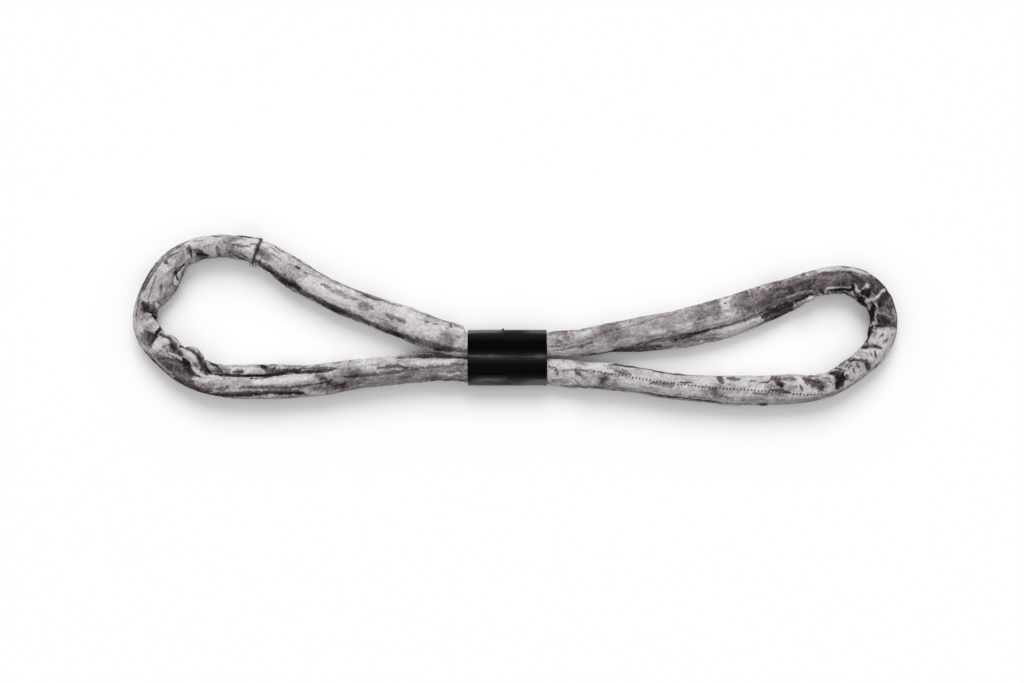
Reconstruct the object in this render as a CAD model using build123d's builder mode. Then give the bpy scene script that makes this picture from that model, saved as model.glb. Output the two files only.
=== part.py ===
"""Round sling: an endless yarn core in a sewn velvet jacket, drawn into two eyes by a keeper sleeve.

Millimetres. The sling lies flat on Z = 0 with its long way along X. The origin is under the middle of
its outline. The jacket is one open tube that goes once round the loop, and its leg-side end is tucked
into its eye-side end at the closing seam.
"""

from build123d import *
import os
from math import ceil, cos, hypot, pi, radians, sin, tan

os.makedirs("parts", exist_ok=True)

# ---- Core ----
core_diameter = 9.0  # bundle of endless polyester yarn
tape_wall = 0.4  # tape that binds the two yarn ends to the bundle
tape_clearance = 0.1
tape_length = 45.0
tape_middle_x = 2.5  # on the lower leg

# ---- Jacket ----
jacket_wall = 1.0  # velvet with its backing
tube_height = 16.0  # full height of the soft tube, before its underside flattens
left_eye_widths = (8.2, 8.2)  # half widths of the tube outside and inside its route
right_eye_widths = (8.6, 8.6)
upper_right_widths = (10.4, 8.0)
bulge_widths = (11.4, 8.4)
upper_left_widths = (8.8, 9.4)
gate_margin = 0.5  # straight tube between an arc and a change of width
floor_flat = 0.5  # depth of the flat that the tube rests on
pinched_width = 16.5  # one leg's width inside the keeper
shoulder_length = 3.5  # where a leg swells again beside the keeper

# ---- Keeper sleeve ----
keeper_wall = 1.0
keeper_clearance = 0.3
keeper_length = 51.0
keeper_left_x = -30.5
keeper_travel = 15.0  # how far it slides to the right before the legs spread
waist_depth = 1.1  # dip of the sleeve between the two legs
waist_half_width = 5.0
waist_fillet = 4.0

# ---- Legs in the keeper ----
lower_leg_y = -33.0
leg_gap = 0.5  # between the two legs where they lie side by side

# ---- Closing seam ----
seam_distance = 10.0  # along the run that the seam crosses
tuck_clearance = 0.3  # between the tucked end and the end that covers it
tuck_length = 4.5
neck_length = 3.5  # where the leg is drawn in before the seam
seam_thread_length = 1.2
seam_thread_size = 0.6
seam_thread_clearance = 0.1
thread_end_radius = 0.4
seam_knot_radius = 1.0
seam_knot_length = 1.8
seam_knot_clearance = 0.2

# ---- Side seam stitches ----
stitch_pitch = 2.6
stitch_length = 1.8
stitch_width = 0.5
stitch_height = 0.4
stitch_clearance = 0.05
side_seam_start = 12.0  # along the lower right leg's first run
side_seam_end = 18.0  # along its fifth run
tail_distance = 9.0  # along the leg's fourth run
tail_radius = 0.5
tail_length = 4.0
tail_knot_radius = 0.8
tail_knot_length = 1.2
tail_clearance = 0.1

# ---- Rolls of spare jacket fabric along the inside of two legs ----
roll_radius = 4.4
roll_height = 5.0

# ---- Sides of the soft pieces' sections ----
skin_sides = 16
bore_sides = 12
core_sides = 10
roll_sides = 10

# ---- Route of the loop ----
run_share = 0.45  # each corner's arc starts this far along its shorter run

pinch_right_x = keeper_left_x + keeper_length + keeper_travel
upper_leg_y = lower_leg_y + pinched_width + leg_gap
tube_z = tube_height / 2 - floor_flat
pinched_widths = (pinched_width / 2, pinched_width / 2)
pinched_height = 2 * (tube_z - keeper_wall - keeper_clearance)
tuck_inset = jacket_wall + tuck_clearance
tuck_widths = (left_eye_widths[0] - tuck_inset, left_eye_widths[1] - tuck_inset)
tuck_height = tube_height - 2 * tuck_inset
whipping_half_width = tuck_widths[0] + seam_thread_clearance + seam_thread_size
whipping_half_height = tuck_height / 2 + seam_thread_clearance + seam_thread_size
knot_reach = left_eye_widths[0] - whipping_half_width + seam_knot_clearance

# The route of the loop as x and y, from the closing seam round the left eye, and so on round to the seam.
left_eye = [
    (-177.0, 47.5),
    (-199.0, 49.0),
    (-219.0, 42.0),
    (-231.5, 26.0),
    (-240.0, 8.5),
    (-238.5, -9.0),
    (-227.0, -24.0),
    (-210.0, -37.5),
    (-190.0, -43.0),
    (-160.0, -43.5),
    (-129.5, -41.5),
    (-99.0, -36.0),
    (-55.0, lower_leg_y),
]
right_eye = [
    (51.0, lower_leg_y),
    (82.5, -39.0),
    (114.5, -43.5),
    (149.0, -45.5),
    (179.5, -47.0),
    (202.0, -43.5),
    (217.5, -35.0),
    (231.5, -23.0),
    (239.0, -7.5),
    (238.0, 11.0),
    (227.5, 23.5),
    (210.0, 28.0),
    (186.5, 22.5),
]
upper_right_leg = [
    (160.0, 12.0),
    (133.0, 2.5),
    (105.5, -3.0),
    (79.5, -7.0),
    (51.0, upper_leg_y),
]
upper_left_bulge = [
    (-42.0, upper_leg_y),
    (-65.5, -5.5),
]
upper_left_leg = [
    (-96.0, 7.0),
    (-120.0, 18.0),
    (-140.0, 29.0),
    (-158.0, 40.5),
]

# Rolls of spare fabric, each from a point inside the tube to another.
roll_upper_left = [
    (-211.0, 43.0),
    (-217.5, 36.0),
    (-221.0, 25.5),
    (-228.0, 15.0),
    (-236.0, 8.0),
]
roll_lower_left = [
    (-235.0, -8.5),
    (-227.5, -14.5),
    (-216.0, -21.5),
    (-204.5, -29.5),
    (-189.5, -34.0),
    (-164.0, -32.5),
    (-139.0, -34.0),
    (-113.0, -31.5),
    (-88.0, -28.5),
    (-66.0, -27.0),
    (-50.0, -30.5),
]
roll_right = [
    (58.0, -14.5),
    (80.0, -15.5),
    (107.0, -13.5),
    (133.0, -8.5),
    (159.0, 1.0),
    (181.5, 11.0),
    (197.0, 20.0),
]


def run_length(a, b):
    """Length of the straight run between two route points."""
    return hypot(b[0] - a[0], b[1] - a[1])


def corner_radius(before, corner, after):
    """Radius of the arc that starts run_share along the shorter of a corner's two runs."""
    into = Vector(corner[0] - before[0], corner[1] - before[1])
    out = Vector(after[0] - corner[0], after[1] - corner[1])
    half_turn = radians(into.get_angle(out)) / 2
    return run_share * min(run_length(before, corner), run_length(corner, after)) / tan(half_turn)


def corner_radii(points):
    """The radius at each point of an open route but its first and last."""
    return [corner_radius(*three) for three in zip(points, points[1:], points[2:])]


def smooth_path(points, radii, height):
    """Straight runs joined by tangent arcs, at one height."""
    with BuildLine() as path:
        FilletPolyline([(x, y, height) for x, y in points], radius=radii)
    return path.wire()


def square_plane(point, along):
    """Plane square to the tube at a point, with X pointing out of the loop."""
    return Plane(origin=point, x_dir=(along.Y, -along.X, 0), z_dir=along)


def oval(plane, half_width, half_height, shift, sides):
    """A soft oval as a polygon whose sides touch it, with level sides at its top and bottom."""
    angles = [2 * pi * (index + 0.5) / sides for index in range(sides)]
    corner_x = half_width / cos(pi / sides)
    corner_z = half_height / cos(pi / sides)
    corners = [(shift + corner_x * sin(angle), corner_z * cos(angle)) for angle in angles]
    with BuildSketch(plane) as outline:
        Polygon(*corners, align=None)
    return outline.sketch.face()


def tube_section(plane, half_widths, height, inset):
    """Cross-section of the jacket from its half widths outside and inside its route."""
    outward, inward = half_widths
    sides = bore_sides if inset else skin_sides
    return oval(plane, (outward + inward) / 2 - inset, height / 2 - inset, (outward - inward) / 2, sides)


def between(a, b, distance):
    """The point at a distance along the run from a to b."""
    share = distance / run_length(a, b)
    return (a[0] + (b[0] - a[0]) * share, a[1] + (b[1] - a[1]) * share)


def run_gates(before, a, b, after):
    """The two points of the run from a to b between which the tube changes its width."""
    start_arc = run_share * min(run_length(before, a), run_length(a, b))
    end_arc = run_share * min(run_length(a, b), run_length(b, after))
    return between(a, b, start_arc + gate_margin), between(b, a, end_arc + gate_margin)


# ---- The tube's stretches of one section each, with the gates between them ----
seam_run = Vector(left_eye[0][0] - upper_left_leg[-1][0], left_eye[0][1] - upper_left_leg[-1][1], 0)
seam_direction = seam_run.normalized()
seam_middle = between(upper_left_leg[-1], left_eye[0], seam_distance)
seam_point = Vector(*seam_middle, tube_z)
neck_start = seam_point - seam_direction * (neck_length + seam_thread_length)
neck_end = seam_point - seam_direction * seam_thread_length
seam_plane = square_plane(seam_point, seam_direction)

gate_left_x = keeper_left_x - shoulder_length
gate_right_x = pinch_right_x + shoulder_length
right_gates = run_gates(right_eye[-2], right_eye[-1], upper_right_leg[0], upper_right_leg[1])
left_gates = run_gates(upper_left_bulge[-2], upper_left_bulge[-1], upper_left_leg[0], upper_left_leg[1])
eye_radii = corner_radii([seam_middle] + left_eye + [(gate_left_x, lower_leg_y)])
right_route = [(gate_right_x, lower_leg_y)] + right_eye + upper_right_leg + [(gate_right_x, upper_leg_y)]
right_radii = corner_radii(right_route)
upper_route = [(gate_left_x, upper_leg_y)] + upper_left_bulge + upper_left_leg + [seam_middle]
upper_radii = corner_radii(upper_route)
bulge_count = len(upper_left_bulge)
right_count = len(right_eye)
stretches = [
    ([seam_middle] + left_eye + [(gate_left_x, lower_leg_y)], eye_radii, left_eye_widths),
    (right_route[: right_count + 1] + [right_gates[0]], right_radii[:right_count], right_eye_widths),
    ([right_gates[1]] + right_route[right_count + 1 :], right_radii[right_count:], upper_right_widths),
    (upper_route[: bulge_count + 1] + [left_gates[0]], upper_radii[:bulge_count], bulge_widths),
    (
        [left_gates[1]] + upper_left_leg + [(neck_start.X, neck_start.Y)],
        upper_radii[bulge_count:],
        upper_left_widths,
    ),
]
width_changes = [
    (right_gates[0], right_eye_widths, right_gates[1], upper_right_widths),
    (left_gates[0], bulge_widths, left_gates[1], upper_left_widths),
]


def gate_loft(start, end, inset):
    """A straight piece of tube between two gates, each a point, half widths and a height."""
    start_point = Vector(*start[0], tube_z)
    end_point = Vector(*end[0], tube_z)
    along = (end_point - start_point).normalized()
    start_face = tube_section(square_plane(start_point, along), *start[1:], inset)
    end_face = tube_section(square_plane(end_point, along), *end[1:], inset)
    loft(sections=[start_face, end_face], ruled=True)


def leg_in_keeper(leg_y, travel_sign, left_widths, right_widths, inset):
    """One leg through the keeper: a shoulder, the pinched length and the other shoulder."""
    stations = [
        ((gate_left_x, leg_y), left_widths, tube_height),
        ((keeper_left_x, leg_y), pinched_widths, pinched_height),
        ((pinch_right_x, leg_y), pinched_widths, pinched_height),
        ((gate_right_x, leg_y), right_widths, tube_height),
    ][::travel_sign]
    for start, end in zip(stations, stations[1:]):
        gate_loft(start, end, inset)


def soft_tube(inset):
    """The whole tube, grown to its skin or, with an inset, to the wall of its cavity."""
    with BuildPart() as tube:
        for points, radii, widths in stretches:
            path = smooth_path(points, radii, tube_z)
            end_face = tube_section(square_plane(path @ 0, path % 0), widths, tube_height, inset)
            sweep(sections=end_face, path=path)
        leg_in_keeper(lower_leg_y, 1, left_eye_widths, right_eye_widths, inset)
        leg_in_keeper(upper_leg_y, -1, bulge_widths, upper_right_widths, inset)
        for start, start_widths, end, end_widths in width_changes:
            gate_loft((start, start_widths, tube_height), (end, end_widths, tube_height), inset)
        neck_plane = square_plane(neck_start, seam_direction)
        neck_face = tube_section(neck_plane, upper_left_widths, tube_height, inset)
        throat_face = tube_section(square_plane(neck_end, seam_direction), tuck_widths, tuck_height, inset)
        loft(sections=[neck_face, throat_face], ruled=True)
        extrude(throat_face, amount=seam_thread_length)
    return tube.part


def roll_of_fabric(points):
    """A soft roll of spare fabric beside the tube; both its ends run into the tube."""
    path = smooth_path(points, corner_radii(points), roll_height)
    end_plane = square_plane(path @ 0, path % 0)
    sweep(sections=oval(end_plane, roll_radius, roll_radius, 0, roll_sides), path=path)


# ---- Jacket: the tube and its rolls, hollow, with its leg-side end tucked into its eye-side end ----
tuck_face = tube_section(seam_plane, tuck_widths, tuck_height, 0)
tuck_bore = tube_section(seam_plane, tuck_widths, tuck_height, jacket_wall)
with BuildPart() as jacket:
    add(soft_tube(0))
    for roll in (roll_upper_left, roll_lower_left, roll_right):
        roll_of_fabric(roll)
    split(bisect_by=Plane.XY, keep=Keep.TOP)
    add(soft_tube(jacket_wall), mode=Mode.SUBTRACT)
    extrude(tuck_face, amount=tuck_length)
    extrude(tuck_bore, amount=tuck_length, mode=Mode.SUBTRACT)
jacket.part.label = "jacket"
export_step(jacket.part, "parts/jacket.step")

# ---- Core yarn: one endless bundle through the whole jacket ----
corners = left_eye + right_eye + upper_right_leg + upper_left_bulge + upper_left_leg
core_radii = eye_radii + right_radii + upper_radii
core_radius = core_diameter / 2
with BuildPart() as core_yarn:
    with BuildLine() as core_line:
        FilletPolyline([(x, y, tube_z) for x, y in corners], radius=core_radii, close=True)
    core_path = core_line.wire()
    core_start = square_plane(core_path @ 0, core_path % 0)
    sweep(sections=oval(core_start, core_radius, core_radius, 0, core_sides), path=core_path)
core_yarn.part.label = "core_yarn"
export_step(core_yarn.part, "parts/core_yarn.step")

# ---- Tape that binds the yarn's two ends to the bundle, in the lower leg ----
tape_start = square_plane(Vector(tape_middle_x - tape_length / 2, lower_leg_y, tube_z), Vector(1, 0, 0))
tape_bore = core_radius + tape_clearance
tape_radius = tape_bore + tape_wall
with BuildPart() as splice_tape:
    extrude(oval(tape_start, tape_radius, tape_radius, 0, core_sides), amount=tape_length)
    extrude(oval(tape_start, tape_bore, tape_bore, 0, core_sides), amount=tape_length, mode=Mode.SUBTRACT)
splice_tape.part.label = "splice_tape"
export_step(splice_tape.part, "parts/splice_tape.step")

# ---- Closing seam: whipping in the step between the two jacket ends, with a knot on each side ----
whipping_length = seam_thread_length - seam_thread_clearance
whipping_middle = neck_end + seam_direction * (whipping_length / 2)
whipping_plane = square_plane(neck_end, seam_direction)
bore_half_width = whipping_half_width - seam_thread_size
bore_half_height = whipping_half_height - seam_thread_size
whipping_outline = oval(whipping_plane, whipping_half_width, whipping_half_height, 0, skin_sides)
whipping_bore = oval(whipping_plane, bore_half_width, bore_half_height, 0, skin_sides)
with BuildPart() as closing_thread:
    extrude(whipping_outline, amount=whipping_length)
    extrude(whipping_bore, amount=whipping_length, mode=Mode.SUBTRACT)
    for outwards in (seam_plane.x_dir, -seam_plane.x_dir):
        stem_start = whipping_middle + outwards * whipping_half_width
        with BuildSketch(Plane(origin=stem_start, z_dir=outwards)):
            Circle(thread_end_radius)
        extrude(amount=knot_reach)
        with BuildSketch(Plane(origin=stem_start + outwards * knot_reach, z_dir=outwards)):
            Circle(seam_knot_radius)
        extrude(amount=seam_knot_length)
closing_thread.part.label = "closing_thread"
export_step(closing_thread.part, "parts/closing_thread.step")

# ---- Side seam: a row of stitches along the top of the lower right leg ----
seam_top = tube_z + tube_height / 2 + stitch_clearance
first_stitch = between(right_eye[0], right_eye[1], side_seam_start)
last_stitch = between(right_eye[4], right_eye[5], side_seam_end)
side_seam = [first_stitch] + right_eye[1:5] + [last_stitch]
seam_line = smooth_path(side_seam, corner_radii(side_seam), seam_top)
stitch_count = ceil(seam_line.length / stitch_pitch)
with BuildPart() as side_stitches:
    for index in range(stitch_count):
        place = (index + 0.5) / stitch_count
        with Locations(Plane(origin=seam_line @ place, x_dir=seam_line % place, z_dir=(0, 0, 1))):
            Box(stitch_length, stitch_width, stitch_height, align=(Align.CENTER, Align.CENTER, Align.MIN))
side_stitches.part.label = "side_stitches"
export_step(side_stitches.part, "parts/side_stitches.step")

# ---- Loose end of the side seam's thread, against the outside of the lower right leg ----
tail_start = Vector(*between(right_eye[3], right_eye[4], tail_distance), tube_z)
tail_run = Vector(right_eye[4][0] - right_eye[3][0], right_eye[4][1] - right_eye[3][1], 0)
tail_plane = square_plane(tail_start, tail_run.normalized())
tail_middle = right_eye_widths[0] + tail_clearance + tail_knot_radius
with BuildPart() as thread_tail:
    with BuildSketch(tail_plane):
        with Locations((tail_middle, 0)):
            Circle(tail_radius)
    extrude(amount=tail_length)
    with BuildSketch(tail_plane.offset(tail_length)):
        with Locations((tail_middle, 0)):
            Circle(tail_knot_radius)
    extrude(amount=tail_knot_length)
thread_tail.part.label = "thread_tail"
export_step(thread_tail.part, "parts/thread_tail.step")

# ---- Keeper sleeve: a tube round both legs, with a shallow dip between them ----
sleeve_half_height = pinched_height / 2 + keeper_clearance
sleeve_half_width = pinched_width + leg_gap / 2 + keeper_clearance
sleeve_end_y = sleeve_half_width - sleeve_half_height
keeper_y = (lower_leg_y + upper_leg_y) / 2
with BuildSketch() as bore:
    with BuildLine():
        for side in (1, -1):
            flat_z = side * sleeve_half_height
            dip_z = side * (sleeve_half_height - waist_depth)
            Line((sleeve_end_y, flat_z), (waist_half_width, flat_z))
            ThreePointArc((waist_half_width, flat_z), (0, dip_z), (-waist_half_width, flat_z))
            Line((-waist_half_width, flat_z), (-sleeve_end_y, flat_z))
            ThreePointArc(
                (side * sleeve_end_y, sleeve_half_height),
                (side * sleeve_half_width, 0),
                (side * sleeve_end_y, -sleeve_half_height),
            )
    make_face()
    fillet(bore.vertices().sort_by(lambda vertex: abs(vertex.X))[:4], waist_fillet)
with BuildSketch() as shell:
    add(bore.sketch)
    offset(amount=keeper_wall)
with BuildPart() as keeper_sleeve:
    with BuildSketch(Plane.YZ.offset(keeper_left_x)):
        with Locations((keeper_y, tube_z)):
            add(shell.sketch)
            add(bore.sketch, mode=Mode.SUBTRACT)
    extrude(amount=keeper_length)
keeper_sleeve.part.label = "keeper_sleeve"
export_step(keeper_sleeve.part, "parts/keeper_sleeve.step")

# ---- What the build prints ----
print("tightest arcs", [round(radius, 1) for radius in sorted(core_radii)[:6]])
print("length of the core", round(core_path.length, 1))
section_area = core_sides * core_radius**2 * tan(pi / core_sides)
section_volume = section_area * core_path.length
print("core volume over its section times its length", round(core_yarn.part.volume / section_volume, 5))
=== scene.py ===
"""Round sling, dressed: a crushed velvet tube round the loop, its seams and threads, and a black sleeve.

Metres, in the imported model's frame: the sling lies on Z = 0 with its long way along X. Lists of places are in
millimetres, or in pixels of the 1024 x 683 photograph where the comment above them says so.
"""
from itertools import product
from math import ceil, cos, pi, radians, sin
import bpy
import numpy as np
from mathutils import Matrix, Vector
from mathutils.bvhtree import BVHTree


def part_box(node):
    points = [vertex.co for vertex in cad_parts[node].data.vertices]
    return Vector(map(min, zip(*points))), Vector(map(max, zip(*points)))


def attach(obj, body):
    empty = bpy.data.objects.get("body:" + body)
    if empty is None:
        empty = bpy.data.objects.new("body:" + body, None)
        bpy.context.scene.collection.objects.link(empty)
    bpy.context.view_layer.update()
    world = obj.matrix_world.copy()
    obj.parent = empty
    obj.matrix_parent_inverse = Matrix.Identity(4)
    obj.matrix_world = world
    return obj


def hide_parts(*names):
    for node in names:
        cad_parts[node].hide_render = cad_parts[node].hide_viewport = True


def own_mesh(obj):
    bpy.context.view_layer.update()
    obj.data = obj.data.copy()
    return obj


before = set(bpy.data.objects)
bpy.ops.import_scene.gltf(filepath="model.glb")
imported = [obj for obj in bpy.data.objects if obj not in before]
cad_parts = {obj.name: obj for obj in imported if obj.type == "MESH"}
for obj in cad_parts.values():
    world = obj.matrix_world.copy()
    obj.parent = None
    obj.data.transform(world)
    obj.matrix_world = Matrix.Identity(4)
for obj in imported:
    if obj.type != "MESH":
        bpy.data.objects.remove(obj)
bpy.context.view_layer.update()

MM = 0.001
PIXEL = 0.648 * MM  # one pixel of the photograph, at the tube's middle height
ZERO_PIXEL = (515.0, 320.0)  # where the frame's origin shows
IMAGE_SIZE = (1024, 683)
TUBE_Z = 7.5 * MM  # middle of the tube
TUBE_HALF_HEIGHT = 7.9 * MM
CAMERA_HEIGHT = 1.5  # above the tube's middle

# The loop's route from the closing seam round the left eye, the right eye and back: x and y, then how far the
# tube reaches outside and inside the route.
SEAM = (-167.4, 43.96)
ROUTE = [
    (*SEAM, 8.4, 7.8),
    (-177.0, 47.5, 7.8, 8.0),
    (-199.0, 49.0, 6.6, 8.0),
    (-219.0, 42.0, 6.4, 8.4),
    (-231.5, 26.0, 8.0, 8.8),
    (-240.0, 8.5, 7.6, 7.8),
    (-238.5, -9.0, 8.8, 8.9),
    (-227.0, -24.0, 7.7, 9.2),
    (-210.0, -37.5, 7.7, 8.0),
    (-190.0, -43.0, 7.9, 6.9),
    (-160.0, -43.5, 7.9, 7.2),
    (-129.5, -41.5, 8.2, 8.0),
    (-99.0, -36.0, 7.9, 6.4),
    (-55.0, -33.0, 6.4, 9.0),
    (-10.9, -33.0, 7.9, 7.9),
    (19.0, -33.0, 11.2, 7.9),
    (51.0, -33.0, 11.4, 6.4),
    (82.5, -39.0, 9.3, 8.0),
    (114.5, -43.5, 9.7, 7.5),
    (149.0, -45.5, 9.9, 9.1),
    (179.5, -47.0, 7.9, 11.0),
    (202.0, -43.5, 7.9, 8.2),
    (217.5, -35.0, 7.0, 9.3),
    (231.5, -23.0, 7.9, 8.0),
    (239.0, -7.5, 9.2, 8.6),
    (238.0, 11.0, 8.6, 10.2),
    (227.5, 23.5, 8.2, 11.4),
    (210.0, 28.0, 7.9, 9.7),
    (186.5, 22.5, 7.5, 8.6),
    (160.0, 12.0, 10.0, 7.4),
    (133.0, 2.5, 10.6, 8.4),
    (105.5, -3.0, 9.2, 8.6),
    (79.5, -7.0, 8.9, 8.6),
    (51.0, -16.0, 11.0, 8.0),
    (21.1, -16.0, 7.9, 7.9),
    (-16.3, -16.0, 7.9, 7.9),
    (-42.0, -16.0, 13.4, 8.0),
    (-65.5, -5.5, 12.6, 9.6),
    (-96.0, 7.0, 9.3, 9.9),
    (-120.0, 18.0, 8.3, 10.2),
    (-140.0, 29.0, 8.9, 11.2),
    (-158.0, 40.5, 8.6, 8.4),
    (*SEAM, 8.4, 7.8),
]
KEEPER_ZONE = (-31.5 * MM, 36.5 * MM)  # the tube stays inside the sleeve's bore here, over its whole travel
KEEPER_EASE = (3.0 * MM, 8.5 * MM)  # how soon it swells again, on the left and on the right
KEEPER_HALF_WIDTH = 7.9 * MM
KEEPER_HALF_HEIGHT = 5.9 * MM

# Rolls of spare fabric along the inside of the legs: x, y and half width.
ROLLS = {
    "jacket_fold_upper_left": [
        (-211.0, 43.0, 3.4),
        (-217.5, 36.0, 4.2),
        (-221.0, 25.5, 4.8),
        (-228.0, 15.0, 4.6),
        (-236.0, 8.0, 3.4),
    ],
    "jacket_fold_lower_left": [
        (-231.0, -12.5, 3.0),
        (-222.0, -17.5, 4.4),
        (-211.0, -25.0, 4.8),
        (-202.0, -31.0, 4.6),
        (-189.5, -34.0, 4.0),
        (-164.0, -32.5, 4.4),
        (-139.0, -33.5, 4.0),
        (-113.0, -31.0, 4.2),
        (-88.0, -28.0, 4.0),
        (-66.0, -27.0, 3.6),
        (-46.0, -30.5, 2.6),
    ],
    "jacket_fold_right": [
        (54.0, -17.4, 3.4),
        (66.0, -16.9, 4.4),
        (80.0, -15.7, 5.2),
        (106.7, -12.9, 5.6),
        (132.6, -7.6, 5.7),
        (158.5, 1.9, 5.5),
        (181.0, 11.8, 5.0),
        (199.0, 20.5, 3.0),
    ],
    "jacket_fold_between": [
        (-79.7, -25.6, 1.2),
        (-73.2, -24.2, 1.7),
        (-64.8, -23.2, 2.0),
        (-55.1, -23.1, 1.9),
        (-44.1, -23.8, 1.6),
        (-36.9, -24.6, 1.0),
    ],
}
ROLL_Z = 5.2 * MM

# Velvet that swells on the outside of each leg just right of the sleeve: the roll's x, y and half width, then
# the y of the place inside the leg towards which the sleeve would press it flat.
SWELLS = {
    "jacket_swell_lower": (
        [(21.2, -37.4, 3.9), (25.0, -37.6, 5.4), (33.0, -38.0, 5.8), (42.0, -38.6, 6.0), (50.0, -38.6, 4.0)],
        -36.0,
    ),
    "jacket_swell_upper": (
        [(21.2, -11.6, 3.8), (25.0, -11.6, 4.6), (33.0, -11.4, 4.7), (42.0, -11.0, 4.9), (49.0, -11.0, 3.6)],
        -13.5,
    ),
}
SWELL_Z = 7.2 * MM
SWELL_FLATNESS = 0.8  # height against width

# Puckers of velvet round the inside of the eyes, in pixels of the photograph: places along the ridge of each
# and its half width there.
PUCKERS = {
    "jacket_pucker_left_a": [(140, 315, 1.6), (147, 318.6, 4.6), (154, 324, 6.8), (156.6, 328.6, 5.0),
        (157, 333, 1.6)],
    "jacket_pucker_left_b": [(152, 348, 2.0), (161.4, 341.0, 6.8), (170, 342.8, 9.2), (175.4, 349, 8.2),
        (183, 363, 4.4), (190, 374, 1.6)],
    "jacket_pucker_left_c": [(178, 350, 1.6), (186.4, 352.0, 6.4), (195, 356.6, 9.2), (202, 365, 7.2),
        (207, 375, 2.0)],
    "jacket_pucker_left_d": [(202, 361, 1.6), (209, 364.6, 3.6), (217, 369, 3.6), (230, 372, 1.8)],
    "jacket_pucker_left_e": [(187, 259, 1.4), (181, 268, 3.0), (178.5, 276, 3.8), (176, 285, 2.6)],
    "jacket_pucker_right_a": [(796, 303, 1.6), (803, 299.4, 3.4), (811, 297.0, 3.6), (817, 292.5, 1.6)],
    "jacket_pucker_right_b": [(818, 295.5, 1.4), (824, 291, 3.4), (831, 290, 3.4), (836, 288.5, 1.4)],
    "jacket_pucker_right_c": [(842, 288, 1.4), (847, 290, 3.0), (852, 291, 3.0), (856, 294, 1.4)],
    "jacket_pucker_right_d": [(850, 286, 2.0), (857, 292.6, 4.8), (861, 299, 5.6), (866, 306, 2.2)],
    "jacket_pucker_right_e": [(866, 288, 1.6), (869, 297, 3.8), (871, 305, 3.6), (870, 313, 1.6)],
    "jacket_pucker_right_f": [(876, 314, 1.6), (873, 323, 4.2), (870.4, 332, 4.6), (868, 343, 1.8)],
    "jacket_pucker_right_g": [(881, 350, 2.0), (872, 349, 5.4), (863, 350.6, 7.2), (857, 356, 3.2)],
    "jacket_pucker_right_h": [(870, 365, 2.0), (862, 363, 6.4), (852.4, 364.6, 7.4), (847, 371, 4.2),
        (846, 378, 1.6)],
    "jacket_pucker_right_i": [(849, 380.4, 2.0), (844, 377, 5.8), (836, 375.0, 7.2), (830, 380, 3.4)],
    "jacket_pucker_right_j": [(832, 389, 1.6), (824, 383.6, 4.8), (814, 381, 4.6), (804, 380, 1.8)],
    "jacket_pucker_right_k": [(801, 386, 1.6), (792, 381.4, 4.2), (783, 380.4, 4.2), (774, 382, 1.6)],
}
PUCKER_Z = 10.4 * MM

# The cloth's patterns: size in millimetres, how much finer each is along and across the tube, seed, layers.
PATTERNS = {
    "lumps": (14.0, (0.7, 1.2, 1.2), 0, 2),
    "crumples": (5.0, (0.5, 1.3, 1.3), 3, 3),
    "fine": (2.2, (0.7, 1.0, 1.0), 5, 2),
    "fine_warp": (9.0, (1.0, 1.0, 1.0), 11, 1),
    "long": (4.5, (0.13, 1.0, 1.0), 7, 2),
    "gathers": (5.2, (1.0, 0.22, 0.3), 23, 1),
    "gathers_warp": (11.0, (1.0, 1.0, 1.0), 21, 2),
    "patches": (10.0, (0.55, 1.0, 1.0), 33, 3),
    "small_patches": (3.0, (0.6, 1.0, 1.0), 37, 3),
    "patches_warp": (4.0, (1.0, 1.0, 1.0), 31, 3),
    "specks": (1.2, (0.8, 1.0, 1.0), 39, 1),
}
LUMP_HEIGHT = 0.45 * MM
CRUMPLE_HEIGHT = 0.42 * MM
FINE_CREASE_DEPTH = 0.20 * MM
FINE_CREASE_WIDTH = 0.2  # how far its pattern goes from 0 before a crease ends
LONG_CREASE_DEPTH = 0.35 * MM
LONG_CREASE_WIDTH = 0.1
GATHER_HEIGHT = 1.1 * MM
GATHER_FOLD = (0.55, 1.9)  # a gather's height on its ridge, and how fast it falls as its pattern leaves 0
PATCH_WARP, FINE_WARP, GATHER_WARP = 1.5 * MM, 2.0 * MM, 3.2 * MM
HEM = (0.55 * MM, 2.2 * MM, 1.3 * MM)  # the tube's hem at the closing seam: its height, place and width
HEM_EDGE = (0.5 * MM, 0.5 * MM)  # how far its very edge draws in, and over what length
TUCK = (1.1 * MM, 1.6 * MM)  # how deep the other end is tucked in, and over what length
# Painted shade at the closing seam, in the tuck and along the hem's drawn-in edge.
HEM_SHADE, TUCK_SHADE = (0.40, 0.6 * MM), (0.45, 1.3 * MM)  # how much darker each is, and over what length
HELD_CREASES, HELD_INSET = 0.7, 0.15 * MM  # the creases' share left inside the sleeve, and the tube's inset
TIGHT_BEND = 45.0  # radians a metre, at which the velvet gathers fully
TUBE_SPACING = 0.5 * MM  # between the rings of a tube's mesh
HEADING_BLUR, BEND_BLUR, WIDTH_BLUR = 2.5 * MM, 6.0 * MM, 5.0 * MM
KNOT_WINDOW = 0.2  # share of a line that is searched for its next knot
# Round a tube's section, where its inner side (by cosine) and its upper side (by sine) begin and are whole.
INNER_SIDE, UPPER_SIDE = (0.35, -0.75), (-0.6, -0.15)

# Seeds of the noise in each piece.
SEEDS = {
    "jacket": 7, "rolls": 60, "puckers": 80, "swells": 110, "sleeve_wave": 91, "sleeve_skew": 92,
    "sleeve_painted_light": 93, "seam": 301, "knots": 310, "tail": 330, "nub": 340,
}

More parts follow.
